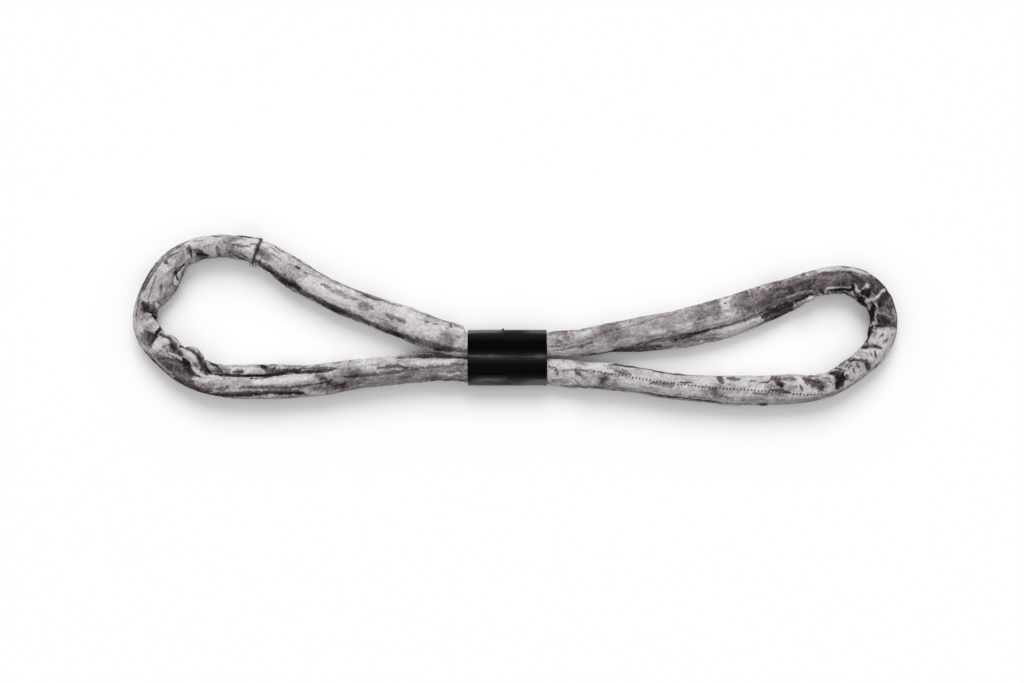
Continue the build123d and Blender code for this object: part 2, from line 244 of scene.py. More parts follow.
# How marks wander and fray, in pixels and shares of their reach.
MARK_DRIFT_SIZE = 5.0
MARK_DRIFT = 0.25
MARK_DRIFT_MOST = 1.3
MARK_RAGGED_SIZE = 1.7
MARK_RAGGED = 0.40
MARK_END = 0.55  # a plain stroke's reach at its ends, as a share of its reach
MARK_EDGE = (0.5, 1.6)  # where a mark starts to fade and is gone, as shares of its reach
MARK_TEXTURE = 0.7  # how much of the pile's own pattern stays in a mark
MARK_SEED = 41
BASE_NAP = 0.80  # the pile's tone where nothing turns it
# How far the pile's patterns change that tone, and how much painted shade and painted highlight the shape of
# the tube and the light add.
PATCH_TONE, SMALL_PATCH_TONE, BETWEEN_TONE, SPECK_TONE = 0.20, 0.13, 0.06, 0.07
RIDGE_PAINTED_LIGHT, GATHER_PAINTED_SHADE, EDGE_PAINTED_SHADE, AWAY_PAINTED_SHADE = 0.22, 0.35, 0.10, 0.10

# Tones of the velvet, from the painted shadow deep in a fold to a painted highlight on pile that faces the
# light; the middle tones serve turned pile and painted shade alike.
BLACK, DARK, DUSK, GREY, PALE, PAINTED_HIGHLIGHT = 0.13, 0.26, 0.43, 0.60, 0.84, 1.02

# Folds, creases and turned patches of pile on the side that shows, with painted shade in the folds and creases
# and along the legs' lower edges, and painted highlights on their lit sides.
# Each is a stroke, in pixels of the photograph: its tone, how far it reaches to each side, how far it lifts
# the surface in millimetres, and its places, each with its own reach where that differs. Later marks lie over
# earlier ones.
BROAD_MARKS = [
    (GREY, 13, 0.0, [(560, 344, 13), (620, 336), (690, 318, 13)]),
    (DUSK, 8, 0.0, [(699, 313, 8), (715, 309, 8)]),
    (0.41, 12, 0.0, [(745, 301, 12), (768, 300), (792, 292, 12)]),
    (0.33, 11, 0.0, [(792, 290, 11), (818, 282), (846, 278), (868, 284), (884, 297), (889, 310),
        (888, 323, 11)]),
    (GREY, 7, 0.0, [(195, 388, 7), (225, 384), (300, 384), (350, 380, 7)]),
    (0.50, 8, 0.0, [(350, 378, 8), (410, 374, 8)]),
    (0.52, 7, 0.0, [(415, 374, 7), (462, 372, 7)]),
    (0.92, 6, 0.0, [(402, 322, 6), (438, 331, 6)]),
    (0.88, 6, 0.0, [(276, 260, 6), (291, 271), (330, 293), (352, 303, 6)]),
    (0.97, 8, 0.0, [(168, 264, 8), (155, 280), (149, 299, 8)]),
    (DARK, 9, 0.0, [(163, 358, 9), (176, 368), (189, 377, 9)]),
    (PALE, 10, 0.0, [(879, 338, 10), (888, 339, 10)]),
    (0.52, 4.5, 0.0, [(612, 352, 4.5), (634, 350), (660, 347), (684, 341), (712, 334, 4.5)]),
]
LEFT_EYE_MARKS = [
    (DUSK, 2.4, -0.5, [(188.5, 246), (190, 253)]),
    (DARK, 1.4, -0.7, [(190.3, 250), (191.5, 257.5)]),
    (DUSK, 2.8, -0.3, [(194, 250), (202, 252.5)]),
    (PALE, 1.3, 0.5, [(184.6, 249), (186, 258), (187, 265)]),
    (DARK, 1.1, -0.4, [(161.5, 261), (168, 257), (178, 252.5)]),
    (DUSK, 0.9, -0.3, [(143, 291), (151, 276), (161, 262), (173, 251.5), (184, 244.5)]),
    (DUSK, 0.9, -0.2, [(193.5, 241.5), (204, 240.5)]),
    (DUSK, 1.6, -0.2, [(233, 244.5), (248, 246.5)]),
    (DUSK, 2.2, -0.2, [(217, 247), (219, 256)]),
    (BLACK, 1.3, -0.6, [(197.5, 254.5), (203, 255), (208.5, 255.5)]),
    (GREY, 1.6, -0.2, [(226, 247), (229, 256)]),
    (GREY, 1.4, -0.2, [(234, 251), (243, 258)]),
    (DARK, 0.7, -0.3, [(207, 235.4), (214, 235.8), (222, 237.2)]),
    (DARK, 0.7, -0.3, [(230, 234.6), (244, 236.4), (259, 239.4)]),
    (PALE, 1.4, 0.4, [(178.4, 264.4), (172, 269.6)]),
    (BLACK, 1.1, -0.9, [(184.4, 264, 0.8), (180.6, 268, 1.0), (175.6, 273, 1.5), (175.8, 276.6, 1.2),
        (178.4, 280.4, 0.6)]),
    (DUSK, 0.6, -0.3, [(181.6, 271.4), (182.6, 277), (181.4, 282)]),
    (0.66, 1.2, 0.2, [(179, 273.6), (179.6, 277)]),
    (DARK, 0.6, -0.3, [(232, 254), (240, 258.4), (247, 261.4)]),
    (DUSK, 0.6, -0.3, [(240, 253.6), (249, 259.4)]),
    (DUSK, 1.2, -0.2, [(243, 255), (245.6, 257.6)]),
    (DUSK, 1.2, -0.2, [(250, 244), (257, 244.6)]),
    (DUSK, 2.4, -0.3, [(163, 259), (167, 263)]),
    (DUSK, 1.0, -0.4, [(188, 241), (176, 247), (168, 253), (158, 263), (150, 273), (143, 285), (138.5, 297),
        (136.5, 316)]),
    (PALE, 0.8, 0.2, [(139.5, 297), (138, 312), (139, 330), (142, 342)]),
    (0.66, 1.2, -0.3, [(156, 276), (151, 289), (148, 300)]),
    (GREY, 1.6, -0.2, [(162, 284), (160, 296)]),
    (DUSK, 5.5, -0.2, [(158, 356, 3), (166, 361), (176, 368), (188, 381)]),
    (DARK, 4.0, -0.2, [(163, 365, 3), (173, 366), (186, 374)]),
    (DARK, 4.0, -0.2, [(175, 379, 2), (184, 385, 4.4), (195, 390, 4.6), (208, 391, 3)]),
    (GREY, 1.1, 0.2, [(148, 350), (156, 360.6), (164, 368.4), (171, 373)]),
    (DARK, 2.2, -0.3, [(158, 359.2, 1.2), (168, 358.4), (178, 359.8), (184, 361.6)]),
    (0.34, 3.4, -0.6, [(142.6, 304, 2.4), (146, 307.6, 4.0), (151.6, 307, 4.2), (154.4, 314, 2.4),
        (158, 319.4, 1.4)]),
    (DUSK, 2.0, -0.2, [(154, 302), (160, 303.4)]),
    (BLACK, 1.4, -0.6, [(148, 311.4), (153, 314), (157.6, 319.2), (160.4, 323), (161.2, 328, 2.0),
        (158.4, 331, 1.4)]),
    (PALE, 1.1, 0.4, [(156, 301), (157.6, 309)]),
    (PALE, 4.4, 0.5, [(144, 319), (150, 321.6), (153.4, 325)]),
    (PAINTED_HIGHLIGHT, 0.9, 0.5, [(158.4, 323), (157.8, 327), (155, 330.4), (154.2, 332)]),
    (DUSK, 4.6, -0.2, [(143, 335), (145, 342)]),
    (DARK, 4.4, -0.5, [(148, 332.4, 3.4), (152, 337, 4.8), (150, 343, 4.2)]),
    (BLACK, 1.6, -0.7, [(157.6, 332.6, 1.9), (155, 337.4), (151.6, 343)]),
    (PALE, 4.4, 0.5, [(156, 348, 3.6), (161.6, 344), (165, 339.6, 2.8)]),
    (PAINTED_HIGHLIGHT, 1.4, 0.3, [(155.4, 341.6), (157, 346)]),
    (DUSK, 1.2, -0.3, [(162, 348), (166, 345.6)]),
    (GREY, 2.0, 0.1, [(162, 353.6), (171, 356.4)]),
    (DARK, 2.0, -0.8, [(161, 334.6, 1.6), (167, 336.2, 1.1), (171, 339.6, 1.8), (173.4, 345, 4.0),
        (175, 349, 3.8), (181, 355, 2.0)]),
    (BLACK, 2.4, -0.3, [(172.6, 344.4), (174.6, 348.8)]),
    (PALE, 0.9, 0.4, [(169, 352.4), (176, 355.8), (182.6, 360)]),
    (BLACK, 2.6, -0.5, [(183.6, 359.4, 1.2), (187, 364.6, 3.2), (189.6, 371, 3.2), (193, 375, 1.4),
        (199, 375.6, 0.8)]),
    (PALE, 2.6, 0.5, [(184, 350.6, 1.5), (189, 354.8, 3.2), (194, 360, 2.6)]),
    (DUSK, 2.2, -0.3, [(194, 363.4), (198.4, 366.4)]),
    (PALE, 1.6, 0.5, [(190.6, 361.4), (194.4, 368), (200, 373.4), (206, 376.2)]),
    (DARK, 2.0, -0.8, [(180.6, 345.8, 1.0), (187, 348.4, 1.6), (193, 350.4, 2.0), (197.6, 354.6, 2.8),
        (201, 360, 3.4), (203.6, 367, 3.6), (206.6, 372, 2.6), (211.6, 373.8, 1.2)]),
    (BLACK, 1.8, -0.3, [(199.6, 357.4, 1.4), (202.8, 365.6, 2.2), (206, 371.4, 1.8)]),
    (PALE, 1.9, 0.4, [(207.6, 362.4), (210, 368), (213.4, 371)]),
    (DARK, 1.6, -0.4, [(209.6, 361.4, 0.8), (213, 364, 1.8), (217.4, 366.4, 1.3)]),
    (DUSK, 2.0, -0.2, [(215.6, 368.6), (222, 371.2)]),
    (GREY, 2.4, 0.0, [(223.4, 368.8), (231, 370)]),
    (DARK, 2.3, -0.2, [(233.4, 372.6), (242, 371.6)]),
    (BLACK, 1.0, -0.5, [(214, 374.4), (228, 375.2), (241, 375.8)]),
    (PALE, 2.0, 0.3, [(193, 378.6), (204, 380.2), (214, 379)]),
    (DUSK, 2.8, -0.2, [(203, 385.6), (214, 385)]),
    (DUSK, 2.0, -0.2, [(217, 389.4), (228, 388)]),
    (DARK, 1.4, -0.3, [(225.4, 388.4), (228, 386)]),
]
LEFT_LEG_MARKS = [
    (0.42, 1.7, -0.3, [(336, 290.4, 1.0), (340.4, 293.2, 1.9), (344, 296, 1.0)]),
    (0.48, 1.8, -0.1, [(343.6, 297.8), (351, 298.6), (358, 299.4)]),
    (0.58, 1.2, -0.2, [(331, 280.4), (336, 283.8), (342, 286.4)]),
    (0.33, 3.6, -0.3, [(256, 261.4), (269, 269.4), (284, 279.4), (300, 290)]),
    (0.35, 2.6, -0.3, [(300, 290), (315, 298.4), (330, 305.6), (345, 312.2), (360, 319), (375, 325.6)]),
    (0.35, 3.0, -0.3, [(375, 325.6), (390, 331.4), (400, 334.8), (413.6, 339.8), (433.5, 345.8),
        (451, 349.8), (467, 350.6)]),
    (DARK, 1.2, -0.3, [(258, 263), (270, 271), (285, 281.6), (300, 292), (328, 306.6), (345, 313.6)]),
    (0.72, 1.0, 0.3, [(385, 333.6), (392, 337), (405, 341.8), (424.3, 348.8), (440, 352.8),
        (467, 355.2, 1.0)]),
    (DUSK, 0.8, -0.3, [(372, 328.8), (395, 339.8), (420, 349.6), (440, 355)]),
    (0.50, 3.2, -0.1, [(376, 323.6), (394, 328.6)]),
    (0.48, 3.8, -0.2, [(360.4, 304.6), (366, 306.8), (371, 307.4)]),
    (0.45, 2.6, -0.2, [(386.4, 315.4), (391, 317), (397, 318.4)]),
    (0.47, 3.0, -0.2, [(398.6, 320), (404.4, 322)]),
    (DUSK, 1.7, -0.3, [(322, 284.4), (331, 288.4)]),
    (0.52, 2.8, -0.2, [(331, 290.4), (341, 294.4), (351, 298.6)]),
    (0.60, 3.8, -0.2, [(442.4, 333.4), (451, 337.6)]),
    (DUSK, 0.9, -0.2, [(424.6, 321.4), (429.4, 322.6)]),
    (DUSK, 0.7, -0.2, [(432, 324), (439, 324.2)]),
    (0.44, 1.0, -0.3, [(450.4, 323.4), (451.6, 327.6)]),
    (0.56, 0.9, -0.3, [(455, 325), (463, 329)]),
    (0.50, 5.4, -0.2, [(258, 250, 3.6), (262, 253), (267, 257.6, 4.0)]),
    (DUSK, 0.8, -0.3, [(270, 247), (280, 254)]),
    (DUSK, 0.8, -0.3, [(275, 247), (285, 253)]),
    (DUSK, 0.8, -0.3, [(272, 254), (281, 260)]),
    (DUSK, 0.8, -0.3, [(302.8, 263.2), (314.3, 268.8), (334, 280), (349.5, 287), (370, 297), (402, 307)]),
    (DUSK, 0.7, -0.3, [(262, 239.5), (276, 245), (290, 253.5), (302, 262)]),
    (DARK, 0.8, -0.3, [(296, 266.4), (300.6, 269)]),
    (GREY, 1.0, -0.2, [(304, 272), (313, 275), (321, 279.4)]),
    (GREY, 0.8, -0.2, [(405, 308.6), (425, 314.6), (445, 319.6), (462, 324.6)]),
    (DARK, 2.4, -0.2, [(206, 394.2), (218, 395.4), (236, 394.2), (254, 393), (271, 391.8), (289, 392),
        (303, 393.2)]),
    (BLACK, 1.3, -0.3, [(212, 396), (236, 395.6), (254, 394.6), (271, 393), (289, 393.4), (302, 394.4)]),
    (GREY, 0.8, 0.1, [(272, 396.6), (286, 397), (300, 396)]),
    (DARK, 1.3, -0.6, [(214, 374.6), (240, 375.8), (260, 376.2), (278, 374.6), (290, 373), (320, 371.6),
        (336, 368.6)]),
    (DARK, 1.6, -0.4, [(345, 377, 0.8), (362, 376, 1.8), (378, 374.6, 2.0), (397, 372, 2.0),
        (407, 370, 0.8)]),
    (DUSK, 1.5, -0.3, [(405, 370), (425, 367.8), (445, 366.6), (464, 364.6)]),
    (BLACK, 1.0, -0.4, [(250, 379.2), (263, 379.4)]),
    (DARK, 3.4, -0.3, [(263, 366, 2.2), (269, 370.4, 3.8), (282, 371.6, 2.4), (300, 370.4, 1.4)]),
    (DUSK, 1.6, -0.2, [(300, 368.4), (334, 367.4)]),
    (PALE, 1.8, 0.3, [(244, 368.5), (258, 369)]),
    (DARK, 1.8, -0.2, [(240, 387.6), (262, 387), (287, 387.8), (312, 385)]),
    (PALE, 3.4, 0.3, [(254, 382.4), (282, 381), (308, 377.4)]),
    (0.37, 2.6, -0.2, [(316, 375.4), (326, 378)]),
    (0.37, 4.2, -0.2, [(316, 388, 2.4), (330, 387.4, 4.4), (344, 386, 3.4)]),
    (DARK, 0.9, -0.3, [(313, 384.6), (322, 383), (332, 380)]),
    (DARK, 2.0, -0.3, [(378, 368.6, 0.9), (388, 366.8, 2.2), (400, 366.2, 2.2), (407, 368, 1.2)]),
    (0.46, 3.0, -0.1, [(352, 381.6), (372, 380), (390, 378)]),
    (GREY, 1.2, 0.2, [(340, 371.4), (362, 370.8), (384, 370)]),
    (GREY, 2.0, 0.1, [(352, 386.4), (376, 384.4), (400, 380.6)]),
    (PALE, 2.0, 0.2, [(410, 361.4), (436, 361.4), (462, 360.6)]),
    (DUSK, 1.3, -0.3, [(451, 363.8), (461, 364.4)]),
    (DARK, 0.8, -0.3, [(431.4, 380.2), (449.6, 382), (465, 380.6)]),
    (GREY, 1.6, 0.1, [(412, 377), (428, 376)]),
    (PALE, 1.4, 0.2, [(438, 374), (450, 375), (460, 373)]),
    (0.36, 2.6, 0.0, [(398, 358), (412, 355.6), (430, 355), (452, 356.6)]),
    (GREY, 0.6, 0.2, [(397, 357.4), (408, 354.6), (424, 353.4), (440, 354.6)]),
]
RIGHT_UPPER_LEG_MARKS = [
    (0.34, 2.0, -0.4, [(586, 355.6, 1.2), (606, 352.6, 1.6), (622, 350.4, 2.2), (640, 348, 3.3),
        (654, 347.2, 3.0), (660, 347.6, 1.8)]),
    (DUSK, 1.1, -0.4, [(640, 343.4), (660, 341), (678, 338.4)]),
    (DARK, 2.2, -0.4, [(676, 340.0, 1.0), (688, 336.2, 1.9), (698, 332.8, 2.0), (708, 330.4, 1.1)]),
    (DUSK, 0.9, -0.4, [(706, 330.2), (722, 327.4), (737, 322.6), (748, 319.6), (760, 315.4)]),
    (0.55, 2.4, 0.0, [(664, 346.4), (680, 345)]),
    (DUSK, 1.2, -0.3, [(690, 340.8), (706, 339.6), (720, 338.2)]),
    (GREY, 1.2, 0.2, [(706, 333.8), (719, 331.6)]),
    (DUSK, 0.9, -0.3, [(704, 336.6), (722, 333.8)]),
    (PALE, 2.2, 0.1, [(728, 329.4), (738, 326.4), (748, 323.6), (758, 320)]),
    (DARK, 0.8, -0.3, [(744, 319.4), (746, 322.6)]),
    (0.19, 3.2, -0.3, [(764, 316, 2.4), (772, 313.4, 4.2), (784, 308.6, 3.8), (792, 304.8, 2.6)]),
    (DUSK, 0.8, -0.2, [(764, 309.4), (778, 304.4), (792, 299.6)]),
    (0.24, 2.2, -0.1, [(765, 320), (780, 315.4), (793, 309)]),
    (0.55, 1.0, -0.2, [(600, 332.6), (618, 329.6), (636, 325), (650, 320), (662, 316.4), (679, 312.4),
        (694, 308)]),
    (DUSK, 0.8, -0.2, [(630, 326.6), (644, 321.8), (660, 317), (678, 312.8)]),
    (PALE, 3.4, 0.3, [(650, 332.6), (665, 331.4)]),
    (PALE, 4.2, 0.3, [(677, 328.6), (692, 324.4)]),
    (0.70, 1.2, 0.2, [(628, 344), (655, 338.6), (676, 335.4)]),
    (0.48, 4.0, -0.1, [(701, 309), (712, 306)]),
    (PALE, 3.8, 0.2, [(724.6, 303, 3.4), (728, 313, 4.2)]),
    (PAINTED_HIGHLIGHT, 2.0, 0.2, [(726.4, 312.6), (729.6, 315.4)]),
    (DARK, 0.7, -0.3, [(723.6, 304), (726.4, 302.6)]),
    (0.49, 3.4, 0.1, [(752, 291), (764, 297)]),
    (0.50, 2.6, 0.1, [(774, 296), (786, 291)]),
    (0.35, 3.4, -0.1, [(740, 292), (747, 296)]),
    (0.36, 3.0, -0.1, [(757, 306), (768, 302)]),
    (GREY, 1.2, -0.2, [(787, 297), (800, 292.6), (812, 290)]),
    (0.50, 1.6, -0.2, [(565, 346), (591, 338), (612, 331)]),
    (0.36, 1.4, -0.3, [(570, 347.4, 0.9), (581, 346, 1.5), (592, 343, 0.9)]),
    (0.40, 1.1, -0.2, [(552, 347), (562, 345.2), (573, 342.4)]),
    (0.74, 1.5, 0.1, [(551, 352.6), (575, 351.6), (598, 347.8)]),
    (0.76, 3.0, 0.1, [(576, 335.4), (586, 334.4)]),
    (0.46, 3.2, -0.1, [(565, 335.4), (568.6, 341)]),
    (0.66, 1.8, 0.0, [(552, 337.4), (560, 337.4)]),
    (0.44, 1.5, -0.2, [(607, 341), (618, 338.6), (628, 337.4)]),
    (0.42, 1.3, -0.2, [(600, 333.8), (613, 334.4), (624, 330.8)]),
    (0.66, 1.6, 0.1, [(596, 345), (607, 343.6)]),
    (0.50, 4.0, -0.1, [(602, 337), (626, 333)]),
    (PALE, 2.6, 0.2, [(575, 334), (590, 331)]),
    (0.72, 1.6, 0.2, [(551, 354.5), (580, 355.5), (600, 352), (612, 349)]),
    (DUSK, 0.9, -0.3, [(552, 351), (565, 349.5), (577, 347)]),
    (0.46, 2.0, -0.2, [(556, 340), (564, 345)]),
]
RIGHT_EYE_MARKS = [
    (0.58, 2.6, -0.1, [(875.4, 330.4), (874.4, 336)]),
    (0.56, 2.2, -0.1, [(881.6, 330.4), (887, 331)]),
    (0.48, 1.2, -0.2, [(879, 337.6), (883, 334.6), (887, 332)]),
    (0.50, 0.9, -0.2, [(876, 341.4), (878.4, 343.4)]),
    (0.50, 1.5, -0.2, [(884, 342.8), (887.6, 339)]),
    (DUSK, 0.7, -0.2, [(892, 333.8), (892.8, 335.6)]),
    (GREY, 1.7, 0.0, [(760, 284), (786, 279.4), (800, 275.6)]),
    (PALE, 1.6, 0.1, [(816.7, 271), (835, 269), (853, 269.5), (868, 274)]),
    (DUSK, 1.0, -0.2, [(842, 267.5), (850, 267.8)]),
    (DARK, 2.4, -0.6, [(824, 285, 2.6), (820.6, 289, 2.9), (823, 292.6, 1.7)]),
    (BLACK, 1.2, -0.4, [(819.8, 289.2), (822.4, 292.6)]),
    (PALE, 0.9, 0.4, [(824.8, 291.4), (827, 288.2), (832, 287.4), (840, 287.8), (848, 288.2),
        (852.4, 286.8), (854.4, 283.6)]),
    (BLACK, 1.4, -0.8, [(829, 290), (836, 290.6), (844, 290), (851, 290.6)]),
    (BLACK, 2.0, -0.7, [(853.4, 285, 1.2), (853.4, 289, 2.2), (854.6, 292.6, 1.8)]),
    (GREY, 1.3, 0.4, [(831, 293.4), (841, 292.8)]),
    (PALE, 1.1, 0.4, [(844.6, 291.4), (849, 293.4)]),
    (BLACK, 0.9, -0.7, [(795, 301.6), (803, 298.6), (808.6, 295), (814, 294.4)]),
    (GREY, 1.6, 0.3, [(797, 304.4), (803, 301.8)]),
    (PALE, 1.7, 0.6, [(808, 299.4), (812, 297.4)]),
    (DARK, 0.8, -0.5, [(806.4, 301.6), (808.6, 302.2)]),
    (DUSK, 1.4, -0.3, [(813, 299.6), (818, 296.4)]),
    (DARK, 3.4, -0.3, [(872, 281, 3), (880, 283, 3.6), (888, 291, 3)]),
    (DARK, 4.2, -0.6, [(873, 287.6, 2.6), (877, 292, 4.2), (881, 289.4, 3)]),
    (BLACK, 2.0, -0.3, [(874.6, 294), (878.6, 289.4)]),
    (BLACK, 3.8, -0.7, [(886, 293.4, 2.8), (884, 298.6, 4.8), (880, 304.4, 2.8)]),
    (PALE, 0.9, 0.5, [(855.4, 284.8), (856.6, 290), (859.4, 292), (862.4, 290), (864.6, 286)]),
    (PALE, 2.2, 0.4, [(866.4, 284), (868.4, 287.6)]),
    (BLACK, 3.0, -0.7, [(863, 292.6, 2.4), (867, 292, 3.0), (868, 295.8, 2.0)]),
    (BLACK, 4.0, 0.2, [(857.6, 294.8, 2.4), (860, 299, 4.8), (864, 303, 3.2), (867, 308.4, 1.2)]),
    (PALE, 1.3, 0.6, [(865.4, 297.6, 1.0), (867.4, 301.6, 2.0), (869.4, 307, 1.6), (869, 311.4, 0.8)]),
    (BLACK, 2.8, -0.7, [(873, 305, 2.0), (872.6, 311, 3.0), (871.6, 318, 3.0), (870, 323.6, 1.5)]),
    (PALE, 1.0, 0.7, [(884.6, 289.8, 1.5), (882, 291.6), (877.4, 297), (872.4, 301.4), (874.8, 303.8),
        (878, 307)]),
    (0.38, 3.4, 0.2, [(879.6, 309.4), (888, 312.4)]),
    (GREY, 0.9, 0.3, [(877, 312.8), (884, 313.6), (892, 318)]),
    (BLACK, 3.4, -0.5, [(879, 321, 2.0), (884, 320.4, 3.6), (888, 322.8, 2.4)]),
    (DARK, 2.2, -0.2, [(876, 324.8), (884, 325.6), (895, 325.2)]),
    (PALE, 0.8, 0.5, [(877.4, 309.6), (875, 313), (874.6, 318), (876.2, 321.4), (873, 323.4), (868.6, 328)]),
    (GREY, 1.3, 0.1, [(893.4, 309), (895.6, 318)]),
    (PALE, 4.0, 0.2, [(879, 332.4), (893, 331.6)]),
    (BLACK, 2.0, -0.7, [(872.6, 326, 1.4), (869.8, 331, 2.5), (867.4, 336, 2.0), (866.4, 341.6, 1.2)]),
    (PALE, 0.8, 0.5, [(871.6, 334.4), (868.8, 340.6)]),
    (DUSK, 1.2, -0.2, [(880.6, 336.4), (883.4, 333.8)]),
    (DUSK, 0.9, -0.2, [(884, 341.4), (886.6, 339.2)]),
    (DARK, 2.2, -0.8, [(859.4, 347.8, 0.9), (864.6, 346.8, 2.4), (870.4, 346.2, 2.2), (875, 346, 2.5),
        (881.8, 348.8, 0.9)]),
    (BLACK, 1.4, -0.3, [(863.4, 347), (867.6, 346.8)]),
    (BLACK, 1.4, -0.3, [(873.4, 346.2), (877, 346.8)]),
    (PALE, 2.4, 0.5, [(859.6, 352.4), (868, 352)]),
    (DUSK, 1.6, -0.3, [(870.6, 351.6), (871.6, 356)]),
    (DARK, 1.0, -0.4, [(874.8, 350.4), (876, 358.4)]),
    (PALE, 3.2, 0.5, [(852, 366, 3), (853, 373, 3.4)]),
    (DARK, 1.0, -0.5, [(848.6, 360.8, 0.8), (855, 359.4, 1.1), (862, 360.4, 1.5), (866.4, 361.8, 2.1)]),
    (DARK, 3.6, -0.7, [(864.4, 362.6, 2.2), (867.6, 365.4, 3.8), (868.8, 369.4, 1.7)]),
    (BLACK, 1.7, -0.3, [(865.6, 363.8), (867.8, 367)]),
    (DUSK, 0.7, -0.4, [(844.4, 368.4), (847, 364.6), (851.4, 361.8)]),
    (DUSK, 1.0, -0.3, [(848.6, 370), (849.4, 366.6), (852.4, 365.2)]),
    (DUSK, 0.9, -0.4, [(855.6, 362.4), (858.6, 367), (860.4, 371.6)]),
    (DUSK, 0.9, -0.3, [(853, 368), (855.4, 374)]),
    (DUSK, 0.8, -0.4, [(846.6, 374.6), (849, 378.6), (851.4, 381), (854, 377.6)]),
    (DUSK, 0.7, -0.3, [(850, 387.4), (862, 380.6), (872, 371.6), (879, 362)]),
    (DARK, 0.9, -0.4, [(830, 369.8), (834.6, 368), (840, 368.8), (845.6, 370.8)]),
    (BLACK, 3.0, -0.8, [(830.4, 373, 1.4), (836, 373, 2.6), (840.4, 375, 3.6), (842.4, 379.4, 4.0),
        (840.4, 384.6, 3.8), (838, 387.4, 1.7)]),
    (BLACK, 3.4, -0.3, [(838.4, 377, 3.0), (840.6, 381, 4.0), (839.4, 384, 3.2)]),
    (PALE, 2.2, 0.5, [(831.6, 377.6, 1.6), (832.4, 381.8, 2.6)]),
    (DUSK, 0.5, -0.2, [(822, 378), (831, 378.4)]),
    (DARK, 0.6, -0.3, [(829, 381), (832, 383)]),
    (PALE, 2.6, 0.4, [(800.6, 380.6), (806, 387.4)]),
    (DARK, 1.3, -0.4, [(800.2, 385.6), (802.8, 391)]),
    (DUSK, 1.6, -0.3, [(793.6, 384), (797, 388)]),
    (0.31, 3.4, -0.5, [(803.4, 378.6, 1.4), (809, 380.6, 3.6), (815.6, 383, 5.2), (820.8, 386.4, 4.6)]),
    (BLACK, 0.8, -0.3, [(806, 378.6), (812, 380.2), (819.4, 383)]),
    (GREY, 1.6, -0.1, [(776, 400.8), (800, 400.4), (816, 398.5), (829, 395), (842, 390.4), (861, 380),
        (877, 368)]),
]
RIGHT_LOWER_LEG_MARKS = [
    (DARK, 0.8, -0.3, [(611, 364.8), (641, 367.6), (662, 370.8), (684, 374.6), (712, 375.2)]),
    (DARK, 1.0, -0.3, [(608, 365.6), (617, 365), (627, 367)]),
    (0.62, 1.9, -0.2, [(604, 366.4), (620, 368.4)]),
    (DARK, 1.0, -0.3, [(654, 370, 0.6), (659, 370.8, 1.3), (663, 371.6, 0.6)]),
    (0.44, 3.6, -0.3, [(601.6, 380.2), (604.6, 380.4)]),
    (0.50, 1.8, -0.3, [(622, 369.4), (627, 372), (631, 375)]),
    (DUSK, 1.4, -0.2, [(548, 365), (553, 369)]),
    (0.38, 1.9, -0.3, [(554.4, 367.4), (557, 371.6), (558, 376)]),
    (0.50, 2.2, -0.1, [(552, 381), (572, 382)]),
    (0.46, 1.0, -0.2, [(559, 371), (572, 369.8), (586, 370.4), (601, 371.4)]),
    (0.40, 1.8, -0.2, [(574.6, 371, 1.2), (578, 373.4, 2.1), (582, 376, 1.0)]),
    (0.54, 1.8, -0.2, [(561, 385.8), (580, 386.8), (603, 388)]),
    (0.40, 1.6, -0.3, [(614.6, 370.6, 1.2), (623, 372.6, 2.0), (631, 375, 1.0)]),
    (0.46, 2.0, -0.2, [(651, 382.6, 1.2), (660, 384, 2.2), (672, 384.8, 2.6)]),
    (DARK, 0.9, -0.2, [(680, 382), (692, 382.8)]),
    (0.78, 2.0, -0.1, [(606, 385.6), (618, 387)]),
    (0.30, 2.0, -0.4, [(716.4, 375, 1.2), (719.4, 378, 2.3), (723.4, 382.4, 1.3)]),
    (0.36, 1.8, -0.3, [(727, 378.4, 1.0), (733, 378.8, 2.0), (739.5, 379.2, 1.0)]),
    (DUSK, 0.8, -0.3, [(749.8, 381), (757, 380.6)]),
    (DARK, 0.7, -0.3, [(759, 382.6), (768, 382), (771.6, 379)]),
    (0.22, 2.6, -0.7, [(771.4, 378, 1.2), (776, 379, 3.0), (780.4, 383, 3.4), (782, 386.6, 1.8)]),
    (0.40, 2.6, -0.4, [(784.6, 379.4), (795, 379.6)]),
    (PALE, 2.0, 0.5, [(788.4, 383), (796, 384.4)]),
    (0.36, 1.7, -0.3, [(771, 390), (782, 391), (790, 392.6)]),
    (DUSK, 0.7, -0.2, [(693.7, 396.4), (705, 398.4)]),
    (0.50, 0.9, -0.2, [(722, 396), (734, 399)]),
    (DUSK, 0.9, -0.2, [(753, 392.6), (768, 395)]),
    (DARK, 0.7, -0.3, [(640, 392.4), (660, 395.6), (673, 397), (690, 399.4), (705, 401), (721, 402.6)]),
    (GREY, 0.8, -0.2, [(722, 402.6), (737.6, 403.6), (752, 403.6)]),
    (PALE, 3.0, 0.2, [(628, 386), (648, 390)]),
]
MARKS = BROAD_MARKS + LEFT_EYE_MARKS + LEFT_LEG_MARKS
MARKS += RIGHT_UPPER_LEG_MARKS + RIGHT_EYE_MARKS + RIGHT_LOWER_LEG_MARKS

# The sewn seam on the lower right leg, in pixels of the photograph.
SIDE_SEAM = [(594, 371.5), (610, 373.8), (628, 376.5), (646, 379.5), (665, 382.6), (694, 385.6), (717, 388)]
SIDE_SEAM += [(747, 389.6), (770, 391.2), (793, 393.4), (808, 394.6), (822, 393.6)]

scene = bpy.context.scene


# ---- Numbers ----
def at_pixel(px, py):
    """The place on the sling's middle plane that shows at a pixel of the photograph."""
    return (px - ZERO_PIXEL[0]) * PIXEL, (ZERO_PIXEL[1] - py) * PIXEL


